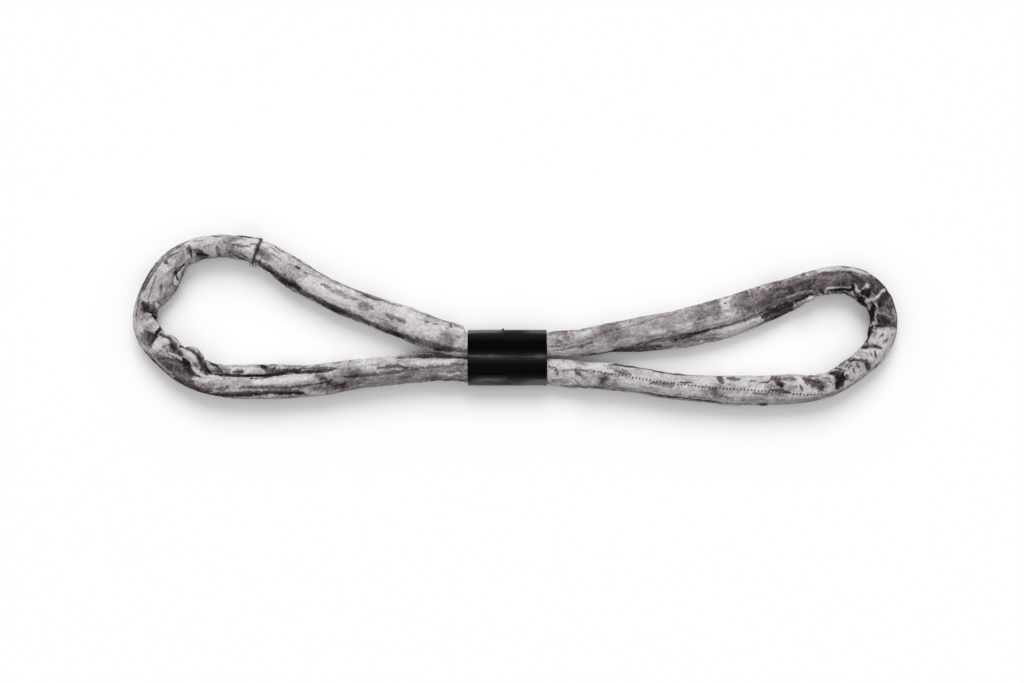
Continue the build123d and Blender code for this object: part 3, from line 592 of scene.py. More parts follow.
def pixels_seen(points):
    """Where points show in the photograph, as pixels."""
    middle = np.array(at_pixel(IMAGE_SIZE[0] / 2, IMAGE_SIZE[1] / 2))
    closer = CAMERA_HEIGHT / (CAMERA_HEIGHT - (points[..., 2] - TUBE_Z))
    flat = middle + (points[..., :2] - middle) * closer[..., None]
    return np.stack([ZERO_PIXEL[0] + flat[..., 0] / PIXEL, ZERO_PIXEL[1] - flat[..., 1] / PIXEL], axis=-1)


def smoothstep(low, high, value):
    """0 at low and 1 at high, with an even start and end."""
    share = np.clip((value - low) / (high - low), 0.0, 1.0)
    return share * share * (3.0 - 2.0 * share)


def bell(value, width):
    """1 where the value is nothing, falling off over the width."""
    return np.exp(-((value / width) ** 2))


def lattice_value(cell, seed):
    """A steady pseudo-random number from -1 to 1 for each whole-numbered cell."""
    mixed = (cell[..., 0] * 374761393 + cell[..., 1] * 668265263 + cell[..., 2] * 2147483647 + seed * 974711)
    mixed = (mixed ^ (mixed >> 13)) * 1274126177
    mixed = (mixed ^ (mixed >> 16)) & 0xFFFFFF
    return mixed / float(0x7FFFFF) - 1.0


def value_noise(points, seed):
    """Smooth noise from -1 to 1 at an array of points, whose knots stand one apart."""
    floor = np.floor(points)
    cell = floor.astype(np.int64)
    t = points - floor
    t = t * t * t * (t * (t * 6.0 - 15.0) + 10.0)
    total = np.zeros(points.shape[:-1])
    for corner in product((0, 1), repeat=3):
        weight = 1.0
        for axis, far in enumerate(corner):
            weight = weight * (t[..., axis] if far else 1 - t[..., axis])
        total += weight * lattice_value(cell + np.array(corner), seed)
    return total


def layered_noise(points, seed, layers):
    """Noise with finer and fainter layers on top of it."""
    total = np.zeros(points.shape[:-1])
    for layer in range(layers):
        total += 0.5**layer * value_noise(points * 2.0**layer, seed + layer * 17)
    return total


def pattern(name, cloth, seed):
    """One of the cloth's patterns at places on the cloth."""
    size, fineness, shift, layers = PATTERNS[name]
    return layered_noise(cloth / (size * MM) * fineness, seed + shift, layers)


# ---- Routes ----
def spline_line(points, height):
    """Points along the NURBS line with these control points, as Blender gives them."""
    curve = bpy.data.curves.new("route", "CURVE")
    curve.dimensions = "3D"
    curve.resolution_u = 32
    spline = curve.splines.new("NURBS")
    spline.points.add(len(points) - 1)
    for point, (x, y) in zip(spline.points, points):
        point.co = (x * MM, y * MM, height, 1.0)
    spline.order_u = 3
    spline.use_endpoint_u = True
    holder = bpy.data.objects.new("route", curve)
    mesh = bpy.data.meshes.new_from_object(holder)
    line = np.array([vertex.co for vertex in mesh.vertices])
    bpy.data.objects.remove(holder)
    bpy.data.curves.remove(curve)
    bpy.data.meshes.remove(mesh)
    return line


def walk(line):
    """Distance from the start of a line to each of its points."""
    steps = np.linalg.norm(np.diff(line, axis=0), axis=1)
    return np.concatenate([[0.0], np.cumsum(steps)])


def on_line(where, distance, line):
    """Places on a line at some distances along it."""
    return np.stack([np.interp(where, distance, line[:, axis]) for axis in range(line.shape[1])], axis=1)


def smooth_rows(rows, sigma):
    """Rows averaged with their neighbours by a bell curve."""
    reach = int(ceil(3 * sigma))
    weights = np.exp(-0.5 * (np.arange(-reach, reach + 1) / sigma) ** 2)
    weights /= weights.sum()
    flat = rows.reshape(len(rows), -1)
    padded = np.concatenate([np.repeat(flat[:1], reach, 0), flat, np.repeat(flat[-1:], reach, 0)])
    out = np.stack([np.convolve(padded[:, k], weights, "valid") for k in range(flat.shape[1])], axis=1)
    return out.reshape(rows.shape)


def stations(line):
    """Evenly spaced points on a line, with their distances, directions and outward directions."""
    distance = walk(line)
    count = int(ceil(distance[-1] / TUBE_SPACING)) + 1
    along = np.linspace(0.0, distance[-1], count)
    place = on_line(along, distance, line)
    heading = smooth_rows(np.gradient(place, along, axis=0), HEADING_BLUR / TUBE_SPACING)
    heading /= np.linalg.norm(heading, axis=1)[:, None]
    outward = np.stack([heading[:, 1], -heading[:, 0], np.zeros(count)], axis=1)
    return along, place, heading, outward


def values_along(along, place, knots, column, blur=WIDTH_BLUR):
    """A width given at the route's knots, as a smooth run of values along the line."""
    knot_points = np.array([(x * MM, y * MM) for x, y, *_ in knots])
    near = [0]
    for point in knot_points[1:-1]:
        gap = np.linalg.norm(place[near[-1] + 1 :, :2] - point, axis=1)
        window = gap[: max(int(len(place) * KNOT_WINDOW), len(gap) // (len(knot_points) - 1) + 1)]
        near.append(near[-1] + 1 + int(np.argmin(window)))
    near.append(len(place) - 1)
    values = np.interp(along, along[near], [knot[column] * MM for knot in knots])
    return smooth_rows(values[:, None], blur / (along[1] - along[0]))[:, 0]


# ---- Meshes ----
def on_floor(points):
    """Points, moved up where they would go through the floor."""
    points[..., 2] = np.maximum(points[..., 2], 0.0)
    return points


def mesh_object(name, vertices, faces):
    """A smooth-shaded mesh in the scene."""
    mesh = bpy.data.meshes.new(name)
    mesh.from_pydata(vertices.tolist(), [], faces)
    mesh.update()
    for polygon in mesh.polygons:
        polygon.use_smooth = True
    piece = bpy.data.objects.new(name, mesh)
    scene.collection.objects.link(piece)
    return piece


def ring_faces(rings, sides):
    """Quads between rings of points, and a fan's polygon over each end."""
    faces = []
    for ring in range(rings - 1):
        low = ring * sides
        for side in range(sides):
            after = (side + 1) % sides
            faces.append((low + side, low + sides + side, low + sides + after, low + after))
    faces.append(tuple(range(sides)))
    faces.append(tuple((rings - 1) * sides + side for side in reversed(range(sides))))
    return faces


def add_attribute(piece, name, values, kind="FLOAT", field="value"):
    layer = piece.data.attributes.new(name, kind, "POINT")
    layer.data.foreach_set(field, np.ascontiguousarray(values, dtype=np.float32).ravel())


def dress(piece, material, replaced, body):
    """Gives a piece its material, hides the node it stands for, and puts it on the body it rides on."""
    piece.data.materials.append(material)
    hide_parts(replaced)
    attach(piece, body)


# ---- Velvet tube ----
def section_angles(top_sides, bottom_sides):
    """Angles round a section, closer together on its upper half."""
    top = np.linspace(0.0, pi, top_sides, endpoint=False)
    bottom = np.linspace(pi, 2 * pi, bottom_sides, endpoint=False)
    return np.concatenate([top, bottom])


def stroke_spots(stroke, reach):
    """A stroke's places, each with its reach. Where an end names no reach of its own, the stroke narrows."""
    spots = [(*spot, reach)[:3] for spot in stroke]
    for end in (0, -1):
        if len(stroke[end]) == 2:
            spots[end] = (*stroke[end], reach * MARK_END)
    if len(spots) == 2:
        middle = [(a + b) / 2 for a, b in zip(stroke[0][:2], stroke[1][:2])]
        spots.insert(1, (*middle, reach))
    return np.array(spots, dtype=float)


def share_of_stroke(points, stroke, reach):
    """Each point's distance from a stroke as a share of its reach."""
    spots = stroke_spots(stroke, reach)
    best = np.full(len(points), np.inf)
    for start, end in zip(spots, spots[1:]):
        length = np.linalg.norm(end[:2] - start[:2])
        run = (end[:2] - start[:2]) / length
        rel = points - start[:2]
        t = np.clip(rel @ run, 0.0, length)
        distance = np.linalg.norm(rel - t[:, None] * run, axis=1)
        best = np.minimum(best, distance / (start[2] + (end[2] - start[2]) * t / length))
    return best


def apply_marks(seen, upper, pile_and_light, push, seed):
    """Blends each mark's tone into the pile, turned pile and painted shade and highlight alike, and its lift
    into the surface, on the side that shows.
    """
    shape = pile_and_light.shape
    seen = seen.reshape(-1, 2)
    upper = np.broadcast_to(upper, shape).reshape(-1)
    pile_and_light, push = pile_and_light.reshape(-1).copy(), push.reshape(-1).copy()
    spots = np.concatenate([seen, np.zeros((len(seen), 1))], axis=1)
    drifts = [layered_noise(spots / MARK_DRIFT_SIZE + shift, seed, 2) for shift in (0.0, 40.0)]
    drift = np.stack(drifts, axis=1)
    ragged = layered_noise(spots / MARK_RAGGED_SIZE, seed + 1, 2)
    # What stays in a mark is the pile's pattern together with its painted shade and highlights.
    tone_beneath = pile_and_light - BASE_NAP
    for tone, reach, lift, stroke in MARKS:
        margin = 2.5 * reach + 3.0
        low = np.min([spot[:2] for spot in stroke], axis=0) - margin
        high = np.max([spot[:2] for spot in stroke], axis=0) + margin
        near = np.flatnonzero(((seen > low) & (seen < high)).all(axis=1))
        if not len(near):
            continue
        moved = seen[near] + drift[near] * min(MARK_DRIFT * reach, MARK_DRIFT_MOST)
        share = share_of_stroke(moved, stroke, reach)
        weight = (1.0 - smoothstep(*MARK_EDGE, share + MARK_RAGGED * ragged[near])) * upper[near]
        pile_and_light[near] = pile_and_light[near] * (1.0 - weight) + (tone + MARK_TEXTURE * tone_beneath[near]) * weight
        push[near] += lift * MM * bell(share, 1.0) * upper[near]
    return pile_and_light.reshape(shape), push.reshape(shape)


def velvet_pile_and_light(cloth, push, seed):
    """Tone at each point, high bright and low dark: the lie of the pile, which crushed velvet turns in ragged
    patches, with painted shade in its dips and painted highlight on its ridges.
    """
    warped = cloth + pattern("patches_warp", cloth, seed)[..., None] * PATCH_WARP
    patches = pattern("patches", warped, seed)
    pile_and_light = BASE_NAP - PATCH_TONE * smoothstep(0.15, 0.7, patches)
    pile_and_light -= SMALL_PATCH_TONE * smoothstep(0.1, 0.8, pattern("small_patches", warped, seed))
    pile_and_light += BETWEEN_TONE * np.clip(-patches, -1.0, 1.0) + SPECK_TONE * pattern("specks", cloth, seed)
    # Painted shade where the velvet dips and painted highlight on its ridges.
    pile_and_light += np.clip(push / MM, -1.0, 0.6) * RIDGE_PAINTED_LIGHT
    return pile_and_light


def velvet_tube(name, line, widths, sides, seed, gather=1.0, lumps=1.0, seam_hem=False):
    """A tube of wrinkled velvet along a line. The widths give how far it reaches outwards, inwards and up."""
    along, place, heading, outward = stations(line)
    angles = section_angles(*sides)
    wide_out, wide_in, half_high = (width(along, place) for width in widths)
    half = ((wide_out + wide_in) / 2)[:, None]
    shift = ((wide_out - wide_in) / 2)[:, None]
    high = half_high[:, None]
    c, s = np.cos(angles)[None, :], np.sin(angles)[None, :]
    base = place[:, None, :] + (shift + half * c)[..., None] * outward[:, None, :]
    base[..., 2] += high * s
    size = np.hypot(c / half, s / high)
    normal = (c / half / size)[..., None] * outward[:, None, :]
    normal[..., 2] += s / high / size
    cloth = np.stack(np.broadcast_arrays(along[:, None], half * c, high * s), axis=-1)

    # How hard the line bends towards its inside, which is where the velvet gathers.
    turn = np.gradient(np.unwrap(np.arctan2(heading[:, 1], heading[:, 0])), along)
    turn = smooth_rows(turn[:, None], BEND_BLUR / TUBE_SPACING)[:, 0]
    bend = np.clip(turn / TIGHT_BEND, 0.0, 1.2)[:, None]

    # Broad lumps of the filling, then crumples, fine creases and long creases down the legs.
    push = lumps * LUMP_HEIGHT * pattern("lumps", cloth, seed)
    push += CRUMPLE_HEIGHT * (0.5 - np.abs(pattern("crumples", cloth, seed)))
    warped = cloth + pattern("fine_warp", cloth, seed)[..., None] * FINE_WARP
    push -= FINE_CREASE_DEPTH * bell(pattern("fine", warped, seed), FINE_CREASE_WIDTH)
    straight = 1.0 - np.clip(bend * 2.0, 0.0, 1.0)
    push -= LONG_CREASE_DEPTH * bell(pattern("long", cloth, seed), LONG_CREASE_WIDTH) * straight
    # Gathers across the inside of the bends.
    inner = smoothstep(*INNER_SIDE, c)
    warped = cloth + pattern("gathers_warp", cloth, seed)[..., None] * GATHER_WARP
    gather_fold = GATHER_FOLD[0] - GATHER_FOLD[1] * np.abs(pattern("gathers", warped, seed))
    push += gather * bend * inner * GATHER_HEIGHT * gather_fold

    pile_and_light = velvet_pile_and_light(cloth, push, seed)
    # Painted shade in the folds of the gathers.
    pile_and_light -= GATHER_PAINTED_SHADE * np.clip(bend * inner, 0.0, 1.0) * smoothstep(0.1, -0.9, gather_fold)
    # Painted shade: the pile is darkened at the tube's edges, and where it faces away from the window.
    pile_and_light -= EDGE_PAINTED_SHADE * smoothstep(0.8, 1.0, np.abs(c)) + AWAY_PAINTED_SHADE * smoothstep(0.45, 0.95, -normal[..., 1])
    if seam_hem:
        past, before = along[:, None], along[-1] - along[:, None]
        push += HEM[0] * bell(past - HEM[1], HEM[2]) - HEM_EDGE[0] * bell(past, HEM_EDGE[1])
        push -= TUCK[0] * bell(before, TUCK[1])
        # Painted shade in the tuck and along the hem.
        pile_and_light -= TUCK_SHADE[0] * bell(before, TUCK_SHADE[1]) + HEM_SHADE[0] * bell(past, HEM_SHADE[1])
    upper = smoothstep(*UPPER_SIDE, s)
    pile_and_light, push = apply_marks(pixels_seen(base), upper, pile_and_light, push, seed + MARK_SEED)
    # Inside the sleeve nothing stands out, and creases are shallower.
    held = keeper_share(place)[:, None]
    push = push * (1.0 - held) + held * np.minimum(HELD_CREASES * push - HELD_INSET, 0.0)

    points = on_floor(base + push[..., None] * normal)
    piece = mesh_object(name, points.reshape(-1, 3), ring_faces(*points.shape[:2]))
    # The pile's tone, with its painted shade and highlights, goes to the material as an attribute.
    add_attribute(piece, "pile_and_light", pile_and_light)
    add_attribute(piece, "cloth", cloth, "FLOAT_VECTOR", "vector")
    dress(piece, velvet, "jacket", "sling")
    return piece, {"place": place, "heading": heading, "angles": angles, "points": points, "normal": normal}


def keeper_share(place):
    """1 where the tube runs through the sleeve's travel, easing to 0 beside it."""
    x = place[:, 0]
    inside = smoothstep(KEEPER_ZONE[0] - KEEPER_EASE[0], KEEPER_ZONE[0], x)
    inside = inside * (1.0 - smoothstep(KEEPER_ZONE[1], KEEPER_ZONE[1] + KEEPER_EASE[1], x))
    return inside * (place[:, 1] < 0.0)


# ---- Materials ----
def new_material(name, roughness, specular):
    """A material with its node tree and its shader."""
    material = bpy.data.materials.new(name)
    material.use_nodes = True
    tree = material.node_tree
    tree.nodes.clear()
    output = tree.nodes.new("ShaderNodeOutputMaterial")
    shader = tree.nodes.new("ShaderNodeBsdfPrincipled")
    shader.inputs["Roughness"].default_value = roughness
    shader.inputs["Specular IOR Level"].default_value = specular
    tree.links.new(shader.outputs["BSDF"], output.inputs["Surface"])
    return material, tree, shader


def node(tree, kind, inputs=(), **settings):
    """A shader node with its settings, and each input linked to a socket or set to a value."""
    made = tree.nodes.new(kind)
    for key, value in settings.items():
        setattr(made, key, value)
    for socket, value in dict(inputs).items():
        if isinstance(value, bpy.types.NodeSocket):
            tree.links.new(value, made.inputs[socket])
        else:
            made.inputs[socket].default_value = value
    return made


def math_node(tree, operation, a, b):
    return node(tree, "ShaderNodeMath", {0: a, 1: b}, operation=operation).outputs[0]


def noise_node(tree, place, scale, detail, roughness=0.5, distortion=0.0):
    """A noise texture's value at a place."""
    settings = {"Vector": place, "Scale": scale, "Detail": detail, "Roughness": roughness}
    made = node(tree, "ShaderNodeTexNoise", {**settings, "Distortion": distortion})
    return made.outputs["Fac"]


def stretched(tree, place, scale_x):
    """A place with its X scaled, so that a texture runs longer along it."""
    return node(tree, "ShaderNodeMapping", {"Vector": place, "Scale": (scale_x, 1.0, 1.0)}).outputs[0]


def ramp(tree, factor, stops):
    made = node(tree, "ShaderNodeValToRGB", {"Fac": factor})
    elements = made.color_ramp.elements
    while len(elements) < len(stops):
        elements.new(0.5)
    for element, (position, color) in zip(elements, stops):
        element.position = position
        element.color = (*color, 1.0)
    return made.outputs["Color"]


def bump_node(tree, height, strength, depth, normal=None):
    """A normal roughened by a height."""
    inputs = {"Height": height, "Strength": strength, "Distance": depth}
    if normal:
        inputs["Normal"] = normal
    return node(tree, "ShaderNodeBump", inputs).outputs[0]


def velvet_material():
    """Crushed velvet: the pile's tone, painted shade and highlights included, from its attribute, broken by its
    grain and crinkles.
    """
    material, tree, shader = new_material("crushed_velvet", 0.85, 0.15)
    pile_and_light = node(tree, "ShaderNodeAttribute", attribute_name="pile_and_light").outputs["Fac"]
    cloth = node(tree, "ShaderNodeAttribute", attribute_name="cloth").outputs["Vector"]
    grain = noise_node(tree, cloth, 1500.0, 2.0, 0.6)
    crush = noise_node(tree, stretched(tree, cloth, 0.7), 620.0, 4.0, 0.75, 0.8)
    grain_part = math_node(tree, "MULTIPLY", math_node(tree, "SUBTRACT", grain, 0.5), 0.5)
    crush_part = math_node(tree, "SUBTRACT", crush, 0.5)
    noise = math_node(tree, "ADD", grain_part, crush_part)
    share = math_node(tree, "ADD", math_node(tree, "MULTIPLY", pile_and_light, 0.8), 0.3)
    value = math_node(tree, "ADD", pile_and_light, math_node(tree, "MULTIPLY", noise, share))
    color = ramp(
        tree,
        value,
        [
            (0.0, (0.010, 0.0075, 0.009)),
            (0.17, (0.045, 0.034, 0.039)),
            (0.36, (0.155, 0.130, 0.141)),
            (0.58, (0.335, 0.303, 0.318)),
            (0.80, (0.540, 0.512, 0.525)),
            (1.0, (0.690, 0.672, 0.680)),
        ],
    )
    tree.links.new(color, shader.inputs["Base Color"])
    shader.inputs["Sheen Weight"].default_value = 0.06
    shader.inputs["Sheen Roughness"].default_value = 0.4
    shader.inputs["Sheen Tint"].default_value = (0.92, 0.9, 0.94, 1.0)
    fine_bump = bump_node(tree, grain, 0.5, 0.15 * MM)
    tree.links.new(bump_node(tree, crush, 0.8, 0.6 * MM, fine_bump), shader.inputs["Normal"])
    return material


def thread_material(name, color):
    """Twisted thread, with painted shade between its fibres where its bump dips."""
    material, tree, shader = new_material(name, 0.75, 0.5)
    place = node(tree, "ShaderNodeTexCoord").outputs["Object"]
    twist = noise_node(tree, place, 2500.0, 2.0)
    fibre_shade = tuple(channel * 0.55 for channel in color)
    tree.links.new(ramp(tree, twist, [(0.3, fibre_shade), (0.7, color)]), shader.inputs["Base Color"])
    tree.links.new(bump_node(tree, twist, 0.6, 0.1 * MM), shader.inputs["Normal"])
    return material


def webbing_material():
    """Black elastic with strands along it, and painted highlights: its strands paler in strips where an
    attribute says that its slopes catch the light.
    """
    material, tree, shader = new_material("ribbed_elastic", 0.34, 0.035)
    place = node(tree, "ShaderNodeTexCoord").outputs["Object"]
    strands = noise_node(tree, stretched(tree, place, 0.12), 900.0, 3.0, 0.6)
    lint = noise_node(tree, place, 2200.0, 1.0)
    both = math_node(tree, "ADD", strands, math_node(tree, "MULTIPLY", lint, 0.3))
    painted_light_share = node(tree, "ShaderNodeAttribute", attribute_name="painted_light").outputs["Fac"]
    lit_strands = math_node(tree, "MULTIPLY", painted_light_share, both)
    blacks = [(0.0, (0.0008, 0.0008, 0.0009)), (0.4, (0.014, 0.014, 0.015)), (1.0, (0.14, 0.14, 0.146))]
    color = ramp(tree, lit_strands, blacks)
    tree.links.new(color, shader.inputs["Base Color"])
    tree.links.new(bump_node(tree, both, 0.5, 0.15 * MM), shader.inputs["Normal"])
    return material


def floor_material():
    material, _, shader = new_material("white_table", 0.9, 0.0)
    shader.inputs["Base Color"].default_value = (0.97, 0.97, 0.975, 1.0)
    return material


# ---- The jacket's tube ----
def keeper_blend(values, place, inside_value):
    """A width that eases to another inside the sleeve."""
    share = keeper_share(place)
    return values * (1.0 - share) + inside_value * share


def jacket_outside(along, place):
    return keeper_blend(values_along(along, place, ROUTE, 2), place, KEEPER_HALF_WIDTH)


def jacket_inside(along, place):
    return keeper_blend(values_along(along, place, ROUTE, 3), place, KEEPER_HALF_WIDTH)


def jacket_half_height(along, place):
    return keeper_blend(np.full(len(along), TUBE_HALF_HEIGHT), place, KEEPER_HALF_HEIGHT)


velvet = velvet_material()
jacket, jacket_tube = velvet_tube(
    "jacket_velvet",
    spline_line([(x, y) for x, y, *_ in ROUTE], TUBE_Z),
    (jacket_outside, jacket_inside, jacket_half_height),
    (60, 24),
    SEEDS["jacket"],
    seam_hem=True,
)


# ---- Rolls, puckers and swells of spare fabric ----
def fabric_roll(name, knots, height, seed, blur, gather, lumps, sides=(30, 14), flatness=1.0):
    """A closed roll of velvet along its knots of x, y and half width in millimetres."""

    def half_width(along, place):
        return values_along(along, place, knots, 2, blur)

    def half_height(along, place):
        return half_width(along, place) * flatness

    line = spline_line([(x, y) for x, y, _ in knots], height)
    return velvet_tube(name, line, (half_width, half_width, half_height), sides, seed, gather, lumps)[0]


for number, (roll_name, knots) in enumerate(ROLLS.items()):
    fabric_roll(roll_name, knots, ROLL_Z, SEEDS["rolls"] + number, WIDTH_BLUR, gather=0.4, lumps=1.2)
for number, (pucker_name, pixels) in enumerate(PUCKERS.items()):
    knots = []
    for px, py, reach in pixels:
        x, y = at_pixel(px, py)
        knots.append((x / MM, y / MM, reach * PIXEL / MM))
    fabric_roll(pucker_name, knots, PUCKER_Z, SEEDS["puckers"] + number, 0.9 * MM, gather=0.0, lumps=0.7)
for number, (swell_name, (knots, press_y)) in enumerate(SWELLS.items()):
    seed = SEEDS["swells"] + number
    swell = fabric_roll(swell_name, knots, SWELL_Z, seed, 2.0 * MM, 0.2, 0.8, (40, 20), SWELL_FLATNESS)
    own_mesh(swell)

# ---- Keeper sleeve ----
KEEPER_LOW, KEEPER_HIGH = (np.array(corner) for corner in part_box("keeper_sleeve"))
KEEPER_MIDDLE = (KEEPER_LOW + KEEPER_HIGH) / 2
SLEEVE_WALL = 0.9 * MM
SLEEVE_WAIST = 1.3 * MM
SLEEVE_WAIST_WIDTH = 4.6 * MM
SLEEVE_WAIST_SHIFT = 2.6 * MM  # towards the upper leg
SLEEVE_RIB_PITCH = 1.2 * MM
SLEEVE_RIB_HEIGHT = 0.07 * MM
SLEEVE_SIDES = 480
SLEEVE_RINGS = 72
SLEEVE_BORE_RINGS = 12
SECTION_STEPS = 160  # along each straight and each round end of its section
SLEEVE_HEM = (0.25 * MM, 0.6 * MM, 0.9 * MM)  # how far it swells, how far in from the end, and its width
SLEEVE_EDGE = (0.35 * MM, 0.35 * MM)  # how far each end draws in, and over what length
SLEEVE_WAVE = (0.18 * MM, 16.0 * MM)  # height and size of the wave in its side
SLEEVE_SKEW = (0.35 * MM, 22.0 * MM, 6.0 * MM)  # how unevenly it ends, that wave's size, and its depth
# Painted highlights in strips where the elastic's edges and the slope between the legs catch the light, a
# negative strength taking some back: millimetres up the picture from its middle, half width and strength.
SLEEVE_PAINTED_LIGHT = [(0.9, 2.3, 0.80), (17.6, 2.1, 1.6), (-17.0, 4.2, 2.2), (-10.0, 1.6, -0.3)]
PAINTED_LIGHT_MOST = 2.0


def sleeve_section(inset):
    """Outline of the sleeve across the legs, its outward normals, and the distance round to each point."""
    _, half_width, half_height = (KEEPER_HIGH - KEEPER_LOW) / 2 - inset
    straight = half_width - half_height
    run = np.linspace(straight, -straight, SECTION_STEPS, endpoint=False)
    turn = np.linspace(0.0, pi, SECTION_STEPS, endpoint=False)
    flat = np.stack([run, np.full(SECTION_STEPS, half_height)], axis=1)
    bow = np.stack([-straight - half_height * np.sin(turn), half_height * np.cos(turn)], axis=1)
    dense = np.concatenate([flat, bow, -flat, -bow])
    waist = SLEEVE_WAIST * bell(dense[:, 0] - SLEEVE_WAIST_SHIFT, SLEEVE_WAIST_WIDTH)
    dense[:, 1] -= np.sign(dense[:, 1]) * waist * (np.abs(dense[:, 1]) > half_height * 0.9)
    closed = np.vstack([dense, dense[:1]])
    distance = walk(closed)
    even = np.linspace(0.0, distance[-1], SLEEVE_SIDES, endpoint=False)
    outline = on_line(even, distance, closed)
    tangent = np.roll(outline, -1, axis=0) - np.roll(outline, 1, axis=0)
    tangent /= np.linalg.norm(tangent, axis=1)[:, None]
    normal = np.stack([tangent[:, 1], -tangent[:, 0]], axis=1)
    outwards = np.sign(((outline - outline.mean(axis=0)) * normal).sum(axis=1))[:, None]
    return outline, normal * np.median(outwards), even / distance[-1], distance[-1]


def build_sleeve():
    """The elastic sleeve: ribs round its outside, a hem at each end, and a plain bore."""
    outline, normal, share_round, perimeter = sleeve_section(0.0)
    bore = sleeve_section(SLEEVE_WALL)[0]
    ribs = round(perimeter / SLEEVE_RIB_PITCH)
    rib = SLEEVE_RIB_HEIGHT * (np.abs(np.cos(share_round * ribs * pi)) * 2 - 1)
    left, right = KEEPER_LOW[0], KEEPER_HIGH[0]
    rings = []
    for x in np.linspace(left, right, SLEEVE_RINGS):
        end_gap = min(x - left, right - x)
        hem = SLEEVE_HEM[0] * bell(end_gap - SLEEVE_HEM[1], SLEEVE_HEM[2])
        hem -= SLEEVE_EDGE[0] * np.exp(-end_gap / SLEEVE_EDGE[1])
        spots = np.column_stack([np.full(SLEEVE_SIDES, x), outline])
        wave = SLEEVE_WAVE[0] * value_noise(spots / SLEEVE_WAVE[1], SEEDS["sleeve_wave"])
        pushed = outline + normal * (rib * 0.9 - SLEEVE_RIB_HEIGHT * 0.6 + hem + wave)[:, None]
        skew = SLEEVE_SKEW[0] * value_noise(spots / SLEEVE_SKEW[1] + 5.0, SEEDS["sleeve_skew"])
        skew *= np.sign(x - KEEPER_MIDDLE[0]) * np.exp(-end_gap / SLEEVE_SKEW[2])
        rings.append(np.column_stack([x + skew, KEEPER_MIDDLE[1:] + pushed]))
    for x in np.linspace(right, left, SLEEVE_BORE_RINGS):
        rings.append(np.column_stack([np.full(SLEEVE_SIDES, x), KEEPER_MIDDLE[1:] + bore]))
    points = on_floor(np.concatenate(rings))
    # Painted highlights across the elastic, in strips up the picture, broken by noise.
    painted_light = np.zeros(len(points))
    for centre, reach, strength in SLEEVE_PAINTED_LIGHT:
        painted_light += strength * bell((points[:, 1] - KEEPER_MIDDLE[1]) / MM - centre, reach)
    painted_light *= 0.8 + 0.5 * value_noise(points / (7.0 * MM) * [0.4, 1.0, 1.0], SEEDS["sleeve_painted_light"])
    faces = []
    for ring in range(len(rings)):
        low, high = ring * SLEEVE_SIDES, (ring + 1) % len(rings) * SLEEVE_SIDES
        for side in range(SLEEVE_SIDES):
            after = (side + 1) % SLEEVE_SIDES
            faces.append((low + side, low + after, high + after, high + side))
    piece = mesh_object("keeper_elastic", points, faces)
    # The painted highlights go to the material as an attribute.
    add_attribute(piece, "painted_light", np.clip(painted_light, 0.0, PAINTED_LIGHT_MOST))
    return piece


webbing = webbing_material()
dress(build_sleeve(), webbing, "keeper_sleeve", "keeper")


# ---- Seams, threads and frayed ends ----
def tube_parts(points, radii, sides=7):
    """Vertices and faces of a closed tube along a few points."""
    points, radii = np.asarray(points), np.broadcast_to(radii, len(points))
    heading = np.gradient(points, axis=0)
    heading /= np.linalg.norm(heading, axis=1)[:, None]
    helper = np.where(np.abs(heading[:, 2:]) > 0.9, [[1.0, 0.0, 0.0]], [[0.0, 0.0, 1.0]])
    across = np.cross(heading, helper)
    across /= np.linalg.norm(across, axis=1)[:, None]
    upward = np.cross(across, heading)
    turn = np.linspace(0.0, 2 * pi, sides, endpoint=False)
    ring = np.cos(turn)[None, :, None] * across[:, None, :] + np.sin(turn)[None, :, None] * upward[:, None, :]
    vertices = points[:, None, :] + ring * radii[:, None, None]
    return vertices.reshape(-1, 3), ring_faces(len(points), sides)


def lump_parts(middle, size, seed):
    """Vertices and faces of a small knotted lump."""
    rows, around = 9, 12
    tilt = np.linspace(0.02, pi - 0.02, rows)[:, None]
    turn = np.linspace(0.0, 2 * pi, around, endpoint=False)[None, :]
    unit = np.stack(
        [np.sin(tilt) * np.cos(turn), np.sin(tilt) * np.sin(turn), np.cos(tilt) * np.ones_like(turn)], axis=-1
    )
    radius = size * (1.0 + 0.28 * value_noise(unit * 2.3 + seed, seed))
    return (np.asarray(middle) + unit * radius[..., None]).reshape(-1, 3), ring_faces(rows, around)


def joined(name, parts, material, replaced, body="sling"):
    """One piece from many small closed parts, standing for a node of the sling."""
    vertices, faces, count = [], [], 0
    for part_vertices, part_faces in parts:
        vertices.append(part_vertices)
        faces += [tuple(index + count for index in face) for face in part_faces]
        count += len(part_vertices)
    piece = mesh_object(name, on_floor(np.concatenate(vertices)), faces)
    dress(piece, material, replaced, body)


NUB = (-7.8 * MM, KEEPER_HIGH[1] + 0.1 * MM, 8.0 * MM)  # a nub of thread on the sleeve's upper edge
nub_parts = [lump_parts(NUB, 0.8 * MM, SEEDS["nub"])]
joined("keeper_nub", nub_parts, webbing, "keeper_sleeve", "keeper")

dark_thread = thread_material("dark_thread", (0.045, 0.036, 0.039))
seam_thread = thread_material("seam_thread", (0.13, 0.105, 0.115))
jacket_points = jacket_tube["points"]
jacket_tree = BVHTree.FromPolygons(
    jacket_points.reshape(-1, 3).tolist(), ring_faces(*jacket_points.shape[:2])[:-2]
)


def on_top(px, py):
    """The velvet's top surface, and its normal, at a pixel of the photograph."""
    x, y = at_pixel(px, py)
    hit, normal, _, _ = jacket_tree.ray_cast(Vector((x, y, 0.1)), Vector((0.0, 0.0, -1.0)))
    return np.array(hit), np.array(normal)


